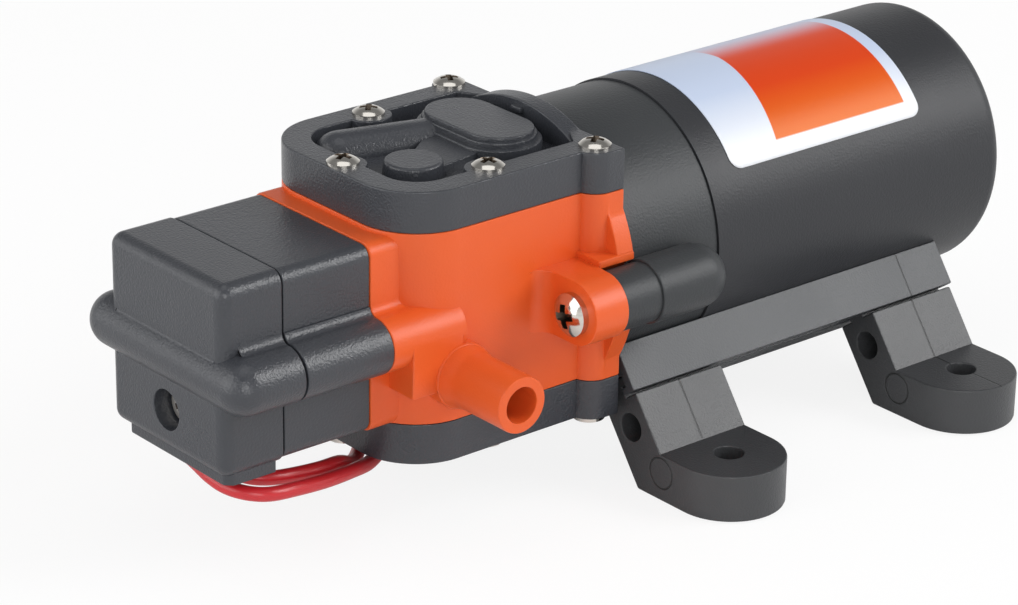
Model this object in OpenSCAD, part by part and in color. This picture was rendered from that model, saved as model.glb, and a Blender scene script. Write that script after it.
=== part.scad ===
// Caravan water pump: a twin-diaphragm head with two covers, a pressure switch
// in front, a round motor behind and a cradle on four rubber feet.
// X runs along the motor from the switch to the motor's rear, Z is up.
// The origin is the centre of the four foot holes, on the floor.

/* [Feet and cradle] */
// Foot hole spacing along the motor
hole_dx = 54.9; // [50:0.1:60]
// Foot hole spacing across the motor
hole_dy = 75.3; // [72:0.1:84]
// Foot hole diameter
hole_d = 5; // [4:0.1:6]
// Height of the motor axis over the floor
axis_h = 36.3; // [36:0.1:40]
// Thickness of a foot's pad
pad_t = 8.2; // [6:0.1:9]
// Radius of a foot's round end
pad_r = 9.65; // [8:0.05:11]
// Thickness of a foot's leg
leg_t = 9; // [8:0.1:9.5]
// Lean of the legs and of the cradle's sides from upright, degrees
leg_lean = 36; // [33:0.5:39]
// Hole through each leg
leg_hole_d = 4.8; // [3:0.1:5]
// Length of the cradle
cradle_len = 75; // [75:0.5:84]
// Where the cradle's side leaves the can, degrees below the horizontal
rail_angle = 31; // [28:0.5:34]
// Height of the cradle's side face, along its slope
rail_face = 8.1; // [7.5:0.1:9]
// Thickness of the cradle under the can
cradle_floor = 2.7; // [2:0.1:4]

/* [Motor] */
// Outside diameter of the motor can
can_d = 47.3; // [46:0.1:49]
// Length of the motor can
can_len = 68.4; // [62:0.1:80]
// Wall of the motor can
can_wall = 1.2; // [0.8:0.1:1.6]
// Rounding of the can's rear edge
can_rim_r = 3; // [1.5:0.1:4]
// Where the can meets the adapter, from the foot-hole centre
can_x = -18; // [-22:0.1:-16]
// Length of the motor adapter
adapter_len = 20.5; // [18:0.1:24]
// How far the adapter's barrel lies inside the can's outside
adapter_step = 0.35; // [0.2:0.05:0.6]
// Wall of the adapter's barrel
adapter_wall = 1.6; // [1.2:0.1:2.2]
// Thickness of the adapter's front wall
front_t = 4; // [3.5:0.1:5]
// Motor shaft diameter
shaft_d = 4; // [3:0.1:5]
// Outside diameter of a motor bearing
bearing_d = 13; // [11:0.1:15]
// Width of a motor bearing
bearing_w = 4; // [3:0.1:4]
// Air gap between the armature and the magnets
air_gap = 0.6; // [0.4:0.05:1.2]
// Thickness of a magnet
magnet_t = 4.4; // [3:0.1:4.6]
// Commutator diameter
commutator_d = 13; // [11:0.1:15]
// Commutator length
commutator_len = 10; // [8:0.1:12]
// Motor screw axis, outside the adapter's barrel
motor_screw_out = 4.1; // [3.7:0.1:4.6]
// Radius of the boss round a motor screw
motor_boss_r = 5.5; // [5:0.1:6]
// Label length along the can
label_len = 44.4; // [30:0.1:48]
// Angle that the label wraps
label_wrap = 116; // [90:1:150]

/* [Pump head] */
// Length of the head, from the adapter to its front
head_len = 42.8; // [42:0.1:48]
// Width of the head
head_w = 39.4; // [39:0.1:44]
// Height between the two cover seats
seat_h = 32.8; // [32:0.1:36]
// Front corner radius of the head
head_corner_r = 11; // [7:0.1:12]
// Diameter of the flange behind the head
flange_d = 52; // [51:0.1:53]
// Height of a cover's rim
cover_h = 7; // [6.5:0.1:9]
// Depth of the hollow in a cover's top
recess_d = 2.8; // [1.5:0.1:3.2]
// Width of a cover's rim
rim_w = 4.9; // [4:0.1:6]
// Width of the valve housing on a cover, along the motor
plateau_w = 11.7; // [10.5:0.1:12.5]
// Length of the valve housing, across the motor
plateau_len = 21.5; // [20.5:0.1:23]
// Height of the valve housing above the rim
plateau_h = 1.4; // [1.2:0.1:2.4]
// Diaphragm centre, in front of the adapter
diaphragm_x = 13.5; // [13.2:0.1:14]
// Diaphragm diameter
diaphragm_d = 24; // [23.4:0.1:24.4]
// Diaphragm thickness
diaphragm_t = 1.5; // [1:0.1:2]
// Throw of the eccentric
throw = 1; // [0.6:0.1:1.1]
// Cover screw thread diameter
cover_screw_d = 3; // [2.5:0.1:3.2]
// Cover screw head diameter
cover_head_d = 5.4; // [5:0.1:6.2]

/* [Ports] */
// Outside diameter of a hose port
port_d = 9.5; // [8.5:0.1:10]
// Bore of a hose port
port_bore = 6; // [4.5:0.1:6.5]
// Distance of a port's mouth from the motor axis
port_reach = 36; // [32:0.5:44]
// Port axis, in front of the adapter
port_x = 32.4; // [31.5:0.1:33]
// Port axis below the motor axis
port_drop = 8; // [7:0.1:8.5]

/* [Pressure switch] */
// Width of the switch housing
switch_w = 30.6; // [29:0.1:32]
// Height of the switch housing
switch_h = 32.3; // [31:0.1:32.6]
// Corner radius of the switch housing
switch_r = 2.2; // [1.6:0.1:3]
// Width across the switch housing's side beads
bead_w = 43; // [41:0.1:45]
// Radius of the bead
bead_r = 4.7; // [4:0.1:5]
// Length of the switch base
base_len = 17.1; // [16:0.1:19]
// Length of the switch cap
cap_len = 11.5; // [10.5:0.1:13]
// How far the bead stands out in front of the cap
bead_front = 1.7; // [1.4:0.1:3]
// Wall of the switch housing
switch_wall = 2; // [1.6:0.1:2.4]
// Travel of the switch plunger
plunger_travel = 0.8; // [0.4:0.1:1]
// Diameter of a red lead
lead_d = 2.4; // [2:0.1:2.6]

/* [Hidden] */
$fn = 64;

// Finishes
orange = [0.92, 0.37, 0.16];
black_plastic = [0.20, 0.21, 0.22];
black_rubber = [0.13, 0.13, 0.14];
steel = [0.75, 0.76, 0.78];
copper = [0.72, 0.42, 0.22];
lead_red = [0.82, 0.12, 0.12];
white = [0.92, 0.93, 0.94];
natural = [0.85, 0.84, 0.78];

// Clearances: a sliding or turning fit, parts that meet, and a screw in its hole
run_gap = 0.05;
seat_gap = 0.05;
screw_gap = 0.1;
// A cut runs this far past the face that it opens
cut = 1;

// Places along X, from the foot-hole centre
can_r = can_d / 2;
adapter_d = can_d - 2 * adapter_step;
can_rear = can_x + can_len;
head_rear = can_x - adapter_len;
cradle_gap = 1;
cradle_front = head_rear + cradle_gap;
cradle_rear = cradle_front + cradle_len;
head_front = head_rear - head_len;
pump_x = head_rear - diaphragm_x;
plateau_x = head_rear - 11.9;
port_at = head_rear - port_x;
neck_len = 3.4;
neck_front = head_front - neck_len;
base_front = neck_front - base_len;
cap_front = base_front - cap_len;

// Pump head
seat_z = seat_h / 2;
cover_top = seat_z + cover_h;
side_y = head_w / 2;
flange_t = 3.5;
flange_r = flange_d / 2;
tab = [0.8, 2.6, 1];
screw_boss_r = 3.9;
far_boss_r = 2.9;
screw_in = 1.1;
rear_screw = [head_rear - 3.1, side_y - screw_in];
mid_screw = [head_rear - 22.7, side_y - 4.3];
front_screw = [head_front + 3, 0];
cover_screws = [front_screw, mid_screw, [mid_screw.x, -mid_screw.y],
                rear_screw, [rear_screw.x, -rear_screw.y]];
cover_screw_grip = 9;
cover_screw_len = cover_h + cover_screw_grip;
cover_head_h = 1.3;
plate_t = 3.2;
dish_d = 2.2;
dish_r = diaphragm_d / 2 - 3.5;
chamber_r = diaphragm_d / 2 - 3;
valve_y = diaphragm_d / 2 - 6.4;
valve_r = 2.1;
valve_stem_r = 0.9;
valve_lip_t = 0.6;
valve_well_r = valve_r + 0.4;
tube_r = 4.2;
knob_low_r = 5.2;
knob_top_r = 4.8;
inlet_way = [port_at - 0.6, 10.5];
outlet_way = [port_at + 2.4, -5.6];
way_r = 2.5;
way_z = plate_t + 1.35;
web_h = 1.9;
channel_r = 0.95;
tube_start = [inlet_way.x, inlet_way.y - 0.6];
tube_end = [plateau_x - plateau_w / 2, valve_y];

// Drive
ecc_bearing_bore = shaft_d + 4;
ecc_bearing_d = ecc_bearing_bore + 5;
ecc_bearing_w = 5;
yoke_w = 6;
yoke_hole_r = ecc_bearing_d / 2 + 2 * throw + 0.3;
yoke_r = yoke_hole_r + 2.2;
clamp_r = 3.2;
clamp_screw_d = 2;
stem_r = 4.2;
clamp_t = 0.9;
crank_r = yoke_r + throw + 0.8;

// Feet and cradle, in the plane across the motor
lean_out = [sin(leg_lean), -cos(leg_lean)];
lean_in = [-cos(leg_lean), -sin(leg_lean)];
rail_top = can_r * [cos(rail_angle), -sin(rail_angle)];
rail_edge = rail_top + rail_face * lean_out;
leg_inset = 0.4;
leg_gap = 0.4;
rail_inner = rail_edge + (leg_t + 2 * leg_inset) * lean_in;
cradle_z = -(can_r + cradle_floor);
tongue_w = 3.4;
tongue_h = 1.3;
tongue_head_w = 6;
tongue_head_h = 1.7;
tongue_gap = 0.1;
foot_len = 2 * pad_r;

// Motor
can_bore_r = can_r - can_wall;
end_coil = 6;
coil_room = 2.7;
bearing_back = 2;
rear_bearing_x = can_rear - can_wall - bearing_back - bearing_w;
armature_front = 15;
armature_x = can_x + armature_front;
armature_r = can_bore_r - magnet_t - air_gap;
armature_d = 2 * armature_r;
armature_len = rear_bearing_x - end_coil - coil_room - armature_x;
commutator_back = 2;
commutator_x = can_x - commutator_back;
brush_card_t = 2;
brush_w = 5;
brush_t = 4;
brush_len = 7;
holder_wall = 1;
brush_wire = 0.5;
brush_turns = 4;
brush_spring_h = adapter_d / 2 - adapter_wall - commutator_d / 2 - brush_len - 2 * seat_gap;
motor_screw_d = 4;
motor_head_d = 7.2;
motor_head_h = 2.4;
motor_screw_len = 20;
motor_screw_y = adapter_d / 2 + motor_screw_out;
motor_boss_front = head_rear - 14.5;
ear_fillet_r = 3;
motor_boss_back = head_rear - 7.5;
motor_boss_end = can_x - 4;
label_t = 0.15;
label_x = can_x + 5.9;

// Pressure switch
bead_z = -0.6;
switch_z = -0.45;
switch_low = switch_z - switch_h / 2;
bead_y = bead_w / 2 - bead_r;
bead_fillet = bead_y - switch_w / 2;
front_fillet_r = 0.8;
seam_inset = 0.2;
seam_gap = 0.3;
lip_t = 1.6;
lip_far_y = switch_w / 2 - 3.6;
lip_near_y = 0.8 - switch_w / 2;
lip_corner = 1.2;
diaphragm_switch_r = 9.5;
diaphragm_switch_t = 1.2;
rear_wall = 4;
plunger_head_r = 4;
plunger_stem_r = 1.8;
guide_t = 2;
guide_front = neck_front - rear_wall - 7;
stem_end = guide_front - 1;
switch_spring_h = neck_front - rear_wall - guide_front - guide_t - 2 * seat_gap;
switch_wire = 0.7;
switch_turns = 3;
button_r = 1;
button_tip = stem_end - 0.2;
micro_front = button_tip - 1;
micro_depth = 5.8;
micro_w = 19;
micro_h = 6.4;
cap_screw_up = 6.9;
cap_screw_z = switch_low + cap_screw_up;
cap_screw_well_r = 3.35;
cap_screw_well_d = 4.6;
cap_screw_post_r = 5;
base_screw_y = 9.5;
base_screw_z = 9;

// Leads: points chosen by hand, first under the switch, measured from its base's front and lower side,
// then on to the adapter, measured from the foot-hole centre and the motor axis
function from_switch(points) = [for (p = points) [base_front + p.x, p.y, switch_low + p.z]];
lead_outer_under = [
  [-5.7, 7, 4], [-5.7, 7, 1.7], [-5.7, 6.3, -0.8], [-5.8, 4.5, -2.6], [-6, 2, -3.3], [-6.6, -1.6, -3.5],
  [-7.1, -5.6, -3.9], [-6.8, -9.4, -4.3], [-5.2, -12.6, -4.6], [-2.2, -14.4, -5], [2.8, -14.4, -5.6]];
lead_outer_route = concat(from_switch(lead_outer_under), [
  [-92, -13, -23.4], [-85, -10.4, -24.8], [-78, -6.5, -26.6], [-71, -1, -27.4], [-64.5, 6, -27.4],
  [-58.5, 13.5, -27.3], [-53, 20.5, -25.8], [-47, 26, -22.8], [-41, 29.4, -19.8], [-36, 31.8, -17.2],
  [-31.5, 33, -15.3], [-28, 33, -14], [-25.2, 31.4, -12.9], [-23.9, 28.8, -11.7], [-23.6, 25.6, -10.3],
  [-23.6, 20.8, -8.4]]);
lead_inner_under = [
  [-2.6, 7, 4], [-2.6, 7, 1.7], [-2.6, 6.3, -0.8], [-2.7, 4.5, -2.6], [-2.8, 2, -3.3], [-3.1, -1.6, -3.6],
  [-3.1, -5, -4.1], [-1.8, -8, -4.5], [0.8, -9.7, -4.9], [4.8, -10.2, -5.4], [10.8, -9.6, -6.3]];
lead_inner_route = concat(from_switch(lead_inner_under), [
  [-85, -7.2, -24.4], [-79.4, -3.6, -27.2], [-73, 2.2, -27.5], [-67, 9, -27.5], [-61.6, 16.4, -27.4],
  [-56, 22.4, -25], [-50, 26.8, -20.6], [-44.4, 29.6, -16.4], [-40, 31.4, -13.9], [-36.4, 32.4, -12.9],
  [-33.2, 31.9, -12.6], [-30.9, 29.8, -11.9], [-30.1, 27, -10.8], [-30, 24, -9.7], [-30, 20.8, -8.4]]);
lead_entries = [for (route = [lead_outer_route, lead_inner_route]) route[len(route) - 1].x];
grommet_angle = 22;
grommet_r = lead_d / 2 + 0.8;
grommet_rim_r = grommet_r + 0.8;

// Helpers

// Lift a shape from the motor axis to its height over the floor
module on_axis() {
  translate([0, 0, axis_h]) children();
}

// A round bar along X
module bar_x(x0, x1, r) {
  translate([x0, 0, 0]) rotate([0, 90, 0]) cylinder(h = x1 - x0, r = r);
}

// A flat shape drawn across the motor, pushed along X
module along_x(x0, x1) {
  translate([x0, 0, 0]) rotate([90, 0, 90]) linear_extrude(x1 - x0) children();
}

// The same child on both sides of the motor
module both_sides() {
  children();
  mirror([0, 1, 0]) children();
}

// A rectangle with round corners, centred
module round_rect(w, h, r) {
  square([w - 2 * r, h], center = true);
  square([w, h - 2 * r], center = true);
  for (x = [-1, 1], y = [-1, 1]) translate([x * (w / 2 - r), y * (h / 2 - r)]) circle(r);
}

// A slot with round ends, long across the motor
module slot_y(len, w) {
  square([w, len - w], center = true);
  for (s = [-1, 1]) translate([0, s * (len - w) / 2]) circle(d = w);
}

// A pan head with a cross recess, top at z = h, on a plain shank
module cross_screw(d, len, head_d, head_h) {
  rim = 0.45 * head_h;
  dome_r = (pow(head_d / 2, 2) + pow(head_h - rim, 2)) / (2 * (head_h - rim));
  cross_w = 0.17 * head_d;
  difference() {
    intersection() {
      cylinder(h = head_h, d = head_d);
      translate([0, 0, head_h - dome_r]) sphere(dome_r);
    }
    for (a = [0, 90]) rotate(a) translate([-0.3 * head_d, -cross_w / 2, 0.4 * head_h])
      cube([0.6 * head_d, cross_w, head_h]);
  }
  translate([0, 0, -len]) cylinder(h = len, d = d);
}

// Points of a tube's rings along a route
function unit(v) = v / norm(v);
function tangent(p, i) =
  unit(p[min(i + 1, len(p) - 1)] - p[max(i - 1, 0)]);
function side_of(t) = unit(cross(t, abs(t.z) > 0.9 ? [1, 0, 0] : [0, 0, 1]));
function carried(p, i) =
  i == 0 ? side_of(tangent(p, 0))
  : let (prev = carried(p, i - 1), t = tangent(p, i)) unit(prev - (prev * t) * t);
function ring(p, i, r, n) =
  let (t = tangent(p, i), s = carried(p, i), u = cross(t, s))
  [for (k = [0:n - 1]) p[i] + r * (cos(360 * k / n) * s + sin(360 * k / n) * u)];

// A point between p1 and p2 on a smooth curve through four points
function smooth(p0, p1, p2, p3, t) =
  0.5 * (2 * p1 + (p2 - p0) * t + (2 * p0 - 5 * p1 + 4 * p2 - p3) * t * t
         + (3 * p1 - p0 - 3 * p2 + p3) * t * t * t);
function refined(p) = concat([p[0]],
  [for (i = [0:len(p) - 2], t = [0.5, 1])
    smooth(p[max(i - 1, 0)], p[i], p[i + 1], p[min(i + 2, len(p) - 1)], t)]);

// One unbroken tube along a route
module tube(p, r, n) {
  rings = len(p);
  points = [for (i = [0:rings - 1]) each ring(p, i, r, n)];
  sides = [for (i = [0:rings - 2], k = [0:n - 1])
    let (a = i * n + k, b = i * n + (k + 1) % n) each [[a, b, b + n], [a, b + n, a + n]]];
  ends = [for (k = [1:n - 2]) each [[0, k + 1, k], [(rings - 1) * n, (rings - 1) * n + k, (rings - 1) * n + k + 1]]];
  polyhedron(points, [for (f = concat(sides, ends)) [f[2], f[1], f[0]]]);
}

// A compression spring along Z, with its turns worked out from its height
module coil(height, r, wire, turns) {
  steps = 8 * turns;
  tube([for (i = [0:steps]) [r * cos(360 * i / 8), r * sin(360 * i / 8),
    wire / 2 + (height - wire) * i / steps]], wire / 2, 6);
}

// The least gap between the turns of each spring
function turn_gap(height, wire, turns) = (height - wire) / turns - wire;
echo(least_spring_gap = min(turn_gap(switch_spring_h, switch_wire, switch_turns),
                            turn_gap(brush_spring_h, brush_wire, brush_turns)));

// Pump head

// The head's outline from above: round front corners and a boss at each rear screw, smaller on the far side
module head_outline() {
  r = head_corner_r;
  difference() {
    union() {
      translate([head_front + r, -side_y]) square([head_len - r, head_w]);
      translate([head_front, r - side_y]) square([head_len, head_w - 2 * r]);
      for (s = [-1, 1]) translate([head_front + r, s * (side_y - r)]) circle(r);
      translate([rear_screw.x, -rear_screw.y]) circle(screw_boss_r);
      translate([rear_screw.x, rear_screw.y]) circle(far_boss_r);
      translate([rear_screw.x, -rear_screw.y - screw_boss_r])
        square([head_rear - rear_screw.x, 2 * rear_screw.y + screw_boss_r + far_boss_r]);
    }
    translate([head_rear, -head_w]) square([head_w, 2 * head_w]);
  }
}

// The switch housing's box from the front, grown by g, and the bead on each side of it
module switch_rect(g) {
  translate([0, switch_z]) round_rect(switch_w + 2 * g, switch_h + 2 * g, switch_r);
}

module bead_outline() {
  top = bead_z + bead_r;
  low = bead_z - bead_r;
  wall = switch_w / 2;
  f = bead_fillet;
  translate([-bead_y, low]) square([2 * bead_y, 2 * bead_r]);
  for (s = [-1, 1]) {
    translate([s * bead_y, bead_z]) circle(bead_r);
    // Concave fillets where the bead leaves the wall
    difference() {
      translate([s < 0 ? -wall - f : wall, low - f]) square([f, 2 * (bead_r + f)]);
      translate([s * (wall + f), top + f]) circle(f);
      translate([s * (wall + f), low - f]) circle(f);
    }
  }
}

// Where a hose port leaves the head: its block, base flange, flare and spigot
module port_outside() {
  block_len = port_at - head_front - 0.3;
  base_r = port_d / 2 + 0.8;
  translate([port_at - block_len, 0, -port_drop - 1.6])
    cube([block_len, bead_w / 2, port_drop + 1.6 + bead_z]);
  translate([port_at, 0, -port_drop]) rotate([-90, 0, 0]) {
    cylinder(h = bead_w / 2 + 0.4, r = base_r);
    translate([0, 0, bead_w / 2 + 0.4]) cylinder(h = 3, r1 = base_r - 0.2, r2 = port_d / 2);
    cylinder(h = port_reach, d = port_d);
  }
}

// The ear that takes a motor screw, with the shelves that reach back to the flange
module motor_ear() {
  shelf = motor_boss_r + 1;
  translate([0, motor_screw_y, 0]) bar_x(motor_boss_front, motor_boss_back, motor_boss_r);
  translate([motor_boss_front, 0, -motor_boss_r])
    cube([motor_boss_back - motor_boss_front, motor_screw_y, 2 * motor_boss_r]);
  translate([motor_boss_back, 0, -shelf]) cube([head_rear - motor_boss_back, flange_r - 0.6, 2 * shelf]);
  // A concave fillet leads from the head's side to the ear's face
  translate([motor_boss_front - ear_fillet_r, side_y, 0]) difference() {
    translate([0, -cut, -motor_boss_r]) cube([ear_fillet_r, ear_fillet_r + cut, 2 * motor_boss_r]);
    translate([0, ear_fillet_r, 0]) cylinder(h = 2 * motor_boss_r + 2 * cut, r = ear_fillet_r, center = true);
  }
}

// A slice of the round flange behind the head, between two heights
module rear_flange(z0, z1) {
  intersection() {
    bar_x(head_rear - flange_t, head_rear, flange_r);
    translate([head_rear - flange_t, -flange_r, z0]) cube([flange_t, 2 * flange_r, z1 - z0]);
  }
}

module body_outside() {
  translate([0, 0, -seat_z]) linear_extrude(seat_h) head_outline();
  along_x(neck_front, head_front) switch_rect(0);
  along_x(head_front - cut, head_front + head_corner_r) intersection() {
    switch_rect(0);
    square([switch_w, seat_h], center = true);
  }
  along_x(neck_front, port_at + 0.9) bead_outline();
  rear_flange(-seat_z, seat_z);
  both_sides() motor_ear();
  both_sides() port_outside();
}

module body_cavities() {
  // Crank space from the rear, and the bore that the two diaphragms close
  bar_x(pump_x - yoke_w / 2 - 3, head_rear + cut, crank_r);
  translate([pump_x, 0, -seat_z - cut]) cylinder(h = seat_h + 2 * cut, r = chamber_r);
  for (s = [-1, 1]) translate([pump_x, 0, s * (seat_z - diaphragm_t / 2)])
    cylinder(h = diaphragm_t + 2 * seat_gap, r = diaphragm_d / 2 + seat_gap, center = true);
  // Water ways: port bores, then up and down to both covers
  for (w = [inlet_way, outlet_way]) {
    s = sign(w.y);
    translate([port_at, s * port_reach, -port_drop]) rotate([s * 90, 0, 0])
      translate([0, 0, -cut]) cylinder(h = port_reach - abs(w.y) + cut, d = port_bore);
    translate([w.x, w.y, -seat_z - cut]) cylinder(h = seat_h + 2 * cut, r = way_r);
  }
  // The way that carries the outlet pressure to the switch
  translate([0, outlet_way.y, 0]) bar_x(neck_front - cut, outlet_way.x, 1.2);
  for (p = cover_screws, s = [-1, 1]) translate([p.x, p.y, s * (seat_z + cut)]) rotate([s > 0 ? 180 : 0, 0, 0])
    cylinder(h = cover_screw_len - cover_h + 2 + cut, d = cover_screw_d + 2 * screw_gap);
  both_sides() translate([0, motor_screw_y, 0])
    bar_x(motor_boss_front - cut, motor_boss_back + cut, motor_screw_d / 2 + screw_gap);
  // Room for the nose of each adapter ear
  both_sides() translate([0, motor_screw_y, 0]) bar_x(motor_boss_back, head_rear + cut, motor_boss_r);
  for (s = [-1, 1]) translate([0, s * base_screw_y, s * base_screw_z])
    bar_x(neck_front - cut, neck_front + 8, cover_screw_d / 2 + screw_gap);
}

module pump_body() {
  color(orange) on_axis() difference() {
    body_outside();
    body_cavities();
  }
}

// The hollow in a cover's top, from above, open to the adapter behind
module recess_outline() {
  r = head_corner_r - rim_w;
  x0 = head_front + rim_w;
  y1 = side_y - rim_w;
  x1 = rear_screw.x - 1.4;
  x2 = head_rear - 1.6;
  translate([x0 + r, -y1]) square([x1 - x0 - r, 2 * y1]);
  translate([x0, r - y1]) square([x1 - x0, 2 * (y1 - r)]);
  for (s = [-1, 1]) translate([x0 + r, s * (y1 - r)]) circle(r);
  polygon([[x1, y1], [x2, y1 - 4.6], [x2, 4.6 - y1], [x1, -y1]]);
}

// Valve housing on a cover: three tiers of slot-shaped steps
module valve_housing() {
  floor_z = cover_top - recess_d;
  tiers = [[cover_top - 0.4, 2.6], [cover_top + plateau_h - 0.8, 1], [cover_top + plateau_h, 0]];
  for (t = tiers) translate([plateau_x, 0, floor_z - cut])
    linear_extrude(t[0] - floor_z + cut) slot_y(plateau_len + t[1], plateau_w + t[1]);
}

// A tapered knob's half section from z0 to z1 with its upper edge rounded by r
module knob_section(low_r, top_r, z0, z1, r) {
  polygon([[0, z0], [low_r, z0], [top_r, z1 - r], [top_r - r, z1], [0, z1]]);
  translate([top_r - r, z1 - r]) circle(r);
}

// Half section of the inlet tube: a domed start and a plain length
module tube_section(length) {
  square([tube_r, length]);
  intersection() {
    circle(tube_r);
    translate([0, -tube_r]) square([tube_r, tube_r + 0.5]);
  }
}

// The round outlet knob and the inlet tube, with the flat web that joins them to the valves
module cover_ways() {
  floor_z = cover_top - recess_d;
  knob_top = cover_top + 0.1;
  tube_z = cover_top - tube_r + 0.8;
  translate([outlet_way.x, outlet_way.y, 0]) rotate_extrude()
    knob_section(knob_low_r, knob_top_r, floor_z - cut, knob_top, 0.6);
  translate([tube_start.x, tube_start.y, tube_z])
    rotate([0, 90, atan2(tube_end.y - tube_start.y, tube_end.x - tube_start.x)])
      rotate_extrude() tube_section(norm(tube_end - tube_start) + 2);
  translate([0, 0, floor_z - cut]) linear_extrude(web_h + cut)
    polygon([[outlet_way.x + 1, outlet_way.y - 3.8], [tube_end.x, -valve_y - 1.8], [tube_end.x, 3],
             [tube_end.x - 4, 2.6], [outlet_way.x + 2, outlet_way.y + 3.6]]);
}

module cover() {
  floor_z = cover_top - recess_d;
  difference() {
    union() {
      difference() {
        translate([0, 0, seat_z]) linear_extrude(cover_h) head_outline();
        translate([0, 0, floor_z]) linear_extrude(recess_d + cut) recess_outline();
      }
      // The top of the round flange belongs to the cover, with a small tab on its face
      rear_flange(seat_z, flange_r + cut);
      translate([head_rear - flange_t - tab[0], -tab[1] / 2, flange_r - 2]) cube([flange_t, tab[1], tab[2]]);
      // Screw bosses, valve housing and ways, kept inside the head's outline
      intersection() {
        union() {
          for (p = cover_screws) translate([p.x, p.y, floor_z - cut])
            cylinder(h = recess_d + cut, r = screw_boss_r);
          valve_housing();
          cover_ways();
        }
        translate([0, 0, floor_z - cut]) linear_extrude(recess_d + plateau_h + 2 * cut) head_outline();
      }
    }
    translate([pump_x, 0, seat_z - cut]) cylinder(h = plate_t + seat_gap + cut, r = diaphragm_d / 2 + seat_gap);
    for (s = [-1, 1]) translate([pump_x, s * valve_y, seat_z])
      cylinder(h = cover_h + plateau_h - 1.5, r = valve_well_r);
    // Water ways: up from the body, then along to the valve wells above the plate
    for (w = [inlet_way, outlet_way]) translate([w.x, w.y, seat_z - cut])
      cylinder(h = way_z + cut, r = way_r);
    way_between(tube_start, [pump_x, valve_y]);
    way_between(outlet_way, [pump_x, -valve_y]);
    for (p = cover_screws) translate([p.x, p.y, seat_z - cut])
      cylinder(h = cover_h + 2 * cut, d = cover_screw_d + 2 * screw_gap);
  }
}

// A round channel above the valve plate
module way_between(a, b) {
  turn = atan2(b.y - a.y, b.x - a.x);
  translate([a.x, a.y, seat_z + way_z]) rotate([0, 90, turn]) cylinder(h = norm(b - a), r = channel_r);
}

module top_cover() {
  color(black_plastic) on_axis() cover();
}

module bottom_cover() {
  color(black_plastic) on_axis() mirror([0, 0, 1]) cover();
}

module cover_screw_set() {
  for (p = cover_screws) translate([p.x, p.y, cover_top])
    cross_screw(cover_screw_d, cover_screw_len, cover_head_d, cover_head_h);
}

module top_cover_screws() {
  color(steel) on_axis() cover_screw_set();
}

module bottom_cover_screws() {
  color(steel) on_axis() mirror([0, 0, 1]) cover_screw_set();
}

// Pump mechanism

module valve_plate() {
  translate([pump_x, 0, seat_z]) difference() {
    cylinder(h = plate_t, d = diaphragm_d);
    translate([0, 0, -cut]) cylinder(h = dish_d + cut, r = dish_r);
    for (s = [-1, 1]) translate([0, s * valve_y, -cut]) {
      cylinder(h = plate_t + 2 * cut, r = valve_stem_r + seat_gap);
      for (a = [30:60:330]) rotate(a) translate([1.5, 0, 0]) cylinder(h = plate_t + 2 * cut, r = 0.35);
    }
  }
}

module top_valve_plate() {
  color(natural) on_axis() valve_plate();
}

module bottom_valve_plate() {
  color(natural) on_axis() mirror([0, 0, 1]) valve_plate();
}

// A rubber umbrella: a thin lip on a stem, lip side up
module umbrella() {
  stem_h = plate_t - dish_d;
  cylinder(h = valve_lip_t, r = valve_r);
  translate([0, 0, -stem_h]) cylinder(h = stem_h, r = valve_stem_r);
  translate([0, 0, -stem_h - 0.8]) cylinder(h = 0.8, r1 = 0.8, r2 = valve_stem_r + 0.25);
}

module inlet_valve() {
  translate([pump_x, valve_y, seat_z + dish_d]) rotate([180, 0, 0]) umbrella();
}

module outlet_valve() {
  translate([pump_x, -valve_y, seat_z + plate_t]) umbrella();
}

module inlet_valves() {
  color(black_rubber) on_axis() {
    inlet_valve();
    mirror([0, 0, 1]) inlet_valve();
  }
}

module outlet_valves() {
  color(black_rubber) on_axis() {
    outlet_valve();
    mirror([0, 0, 1]) outlet_valve();
  }
}

// A rubber disc, thin between its clamped rim and its thick centre
module diaphragm() {
  thin = 0.5 * diaphragm_t;
  translate([pump_x, 0, seat_z - diaphragm_t]) difference() {
    cylinder(h = diaphragm_t, d = diaphragm_d);
    difference() {
      translate([0, 0, thin]) cylinder(h = diaphragm_t, r = dish_r);
      cylinder(h = diaphragm_t, r = stem_r);
    }
    translate([0, 0, -cut]) cylinder(h = diaphragm_t + 2 * cut, r = clamp_screw_d / 2 + screw_gap);
  }
}

module top_diaphragm() {
  color(black_rubber) on_axis() diaphragm();
}

module bottom_diaphragm() {
  color(black_rubber) on_axis() mirror([0, 0, 1]) diaphragm();
}

// The yoke round the eccentric, joined at both ends to a diaphragm
module yoke() {
  reach = seat_z - diaphragm_t;
  color(natural) on_axis() difference() {
    union() {
      bar_x(pump_x - yoke_w / 2, pump_x + yoke_w / 2, yoke_r);
      translate([pump_x, 0, -reach]) cylinder(h = 2 * reach, r = stem_r);
    }
    bar_x(pump_x - stem_r - cut, pump_x + stem_r + cut, yoke_hole_r);
    for (s = [-1, 1]) translate([pump_x, 0, s * (reach + cut)]) rotate([s > 0 ? 180 : 0, 0, 0])
      cylinder(h = cut + 3.6, d = clamp_screw_d + 2 * screw_gap);
  }
}

module clamp_plate() {
  translate([pump_x, 0, seat_z]) difference() {
    cylinder(h = clamp_t, r = clamp_r);
    translate([0, 0, -cut]) cylinder(h = clamp_t + 2 * cut, d = clamp_screw_d + 2 * screw_gap);
  }
}

module clamp_plates() {
  color(steel) on_axis() {
    clamp_plate();
    mirror([0, 0, 1]) clamp_plate();
  }
}

// A headless screw, level with the clamp plate's face
module clamp_screw() {
  depth = clamp_t + diaphragm_t + 3;
  translate([pump_x, 0, seat_z + clamp_t - depth]) cylinder(h = depth, d = clamp_screw_d);
}

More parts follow.
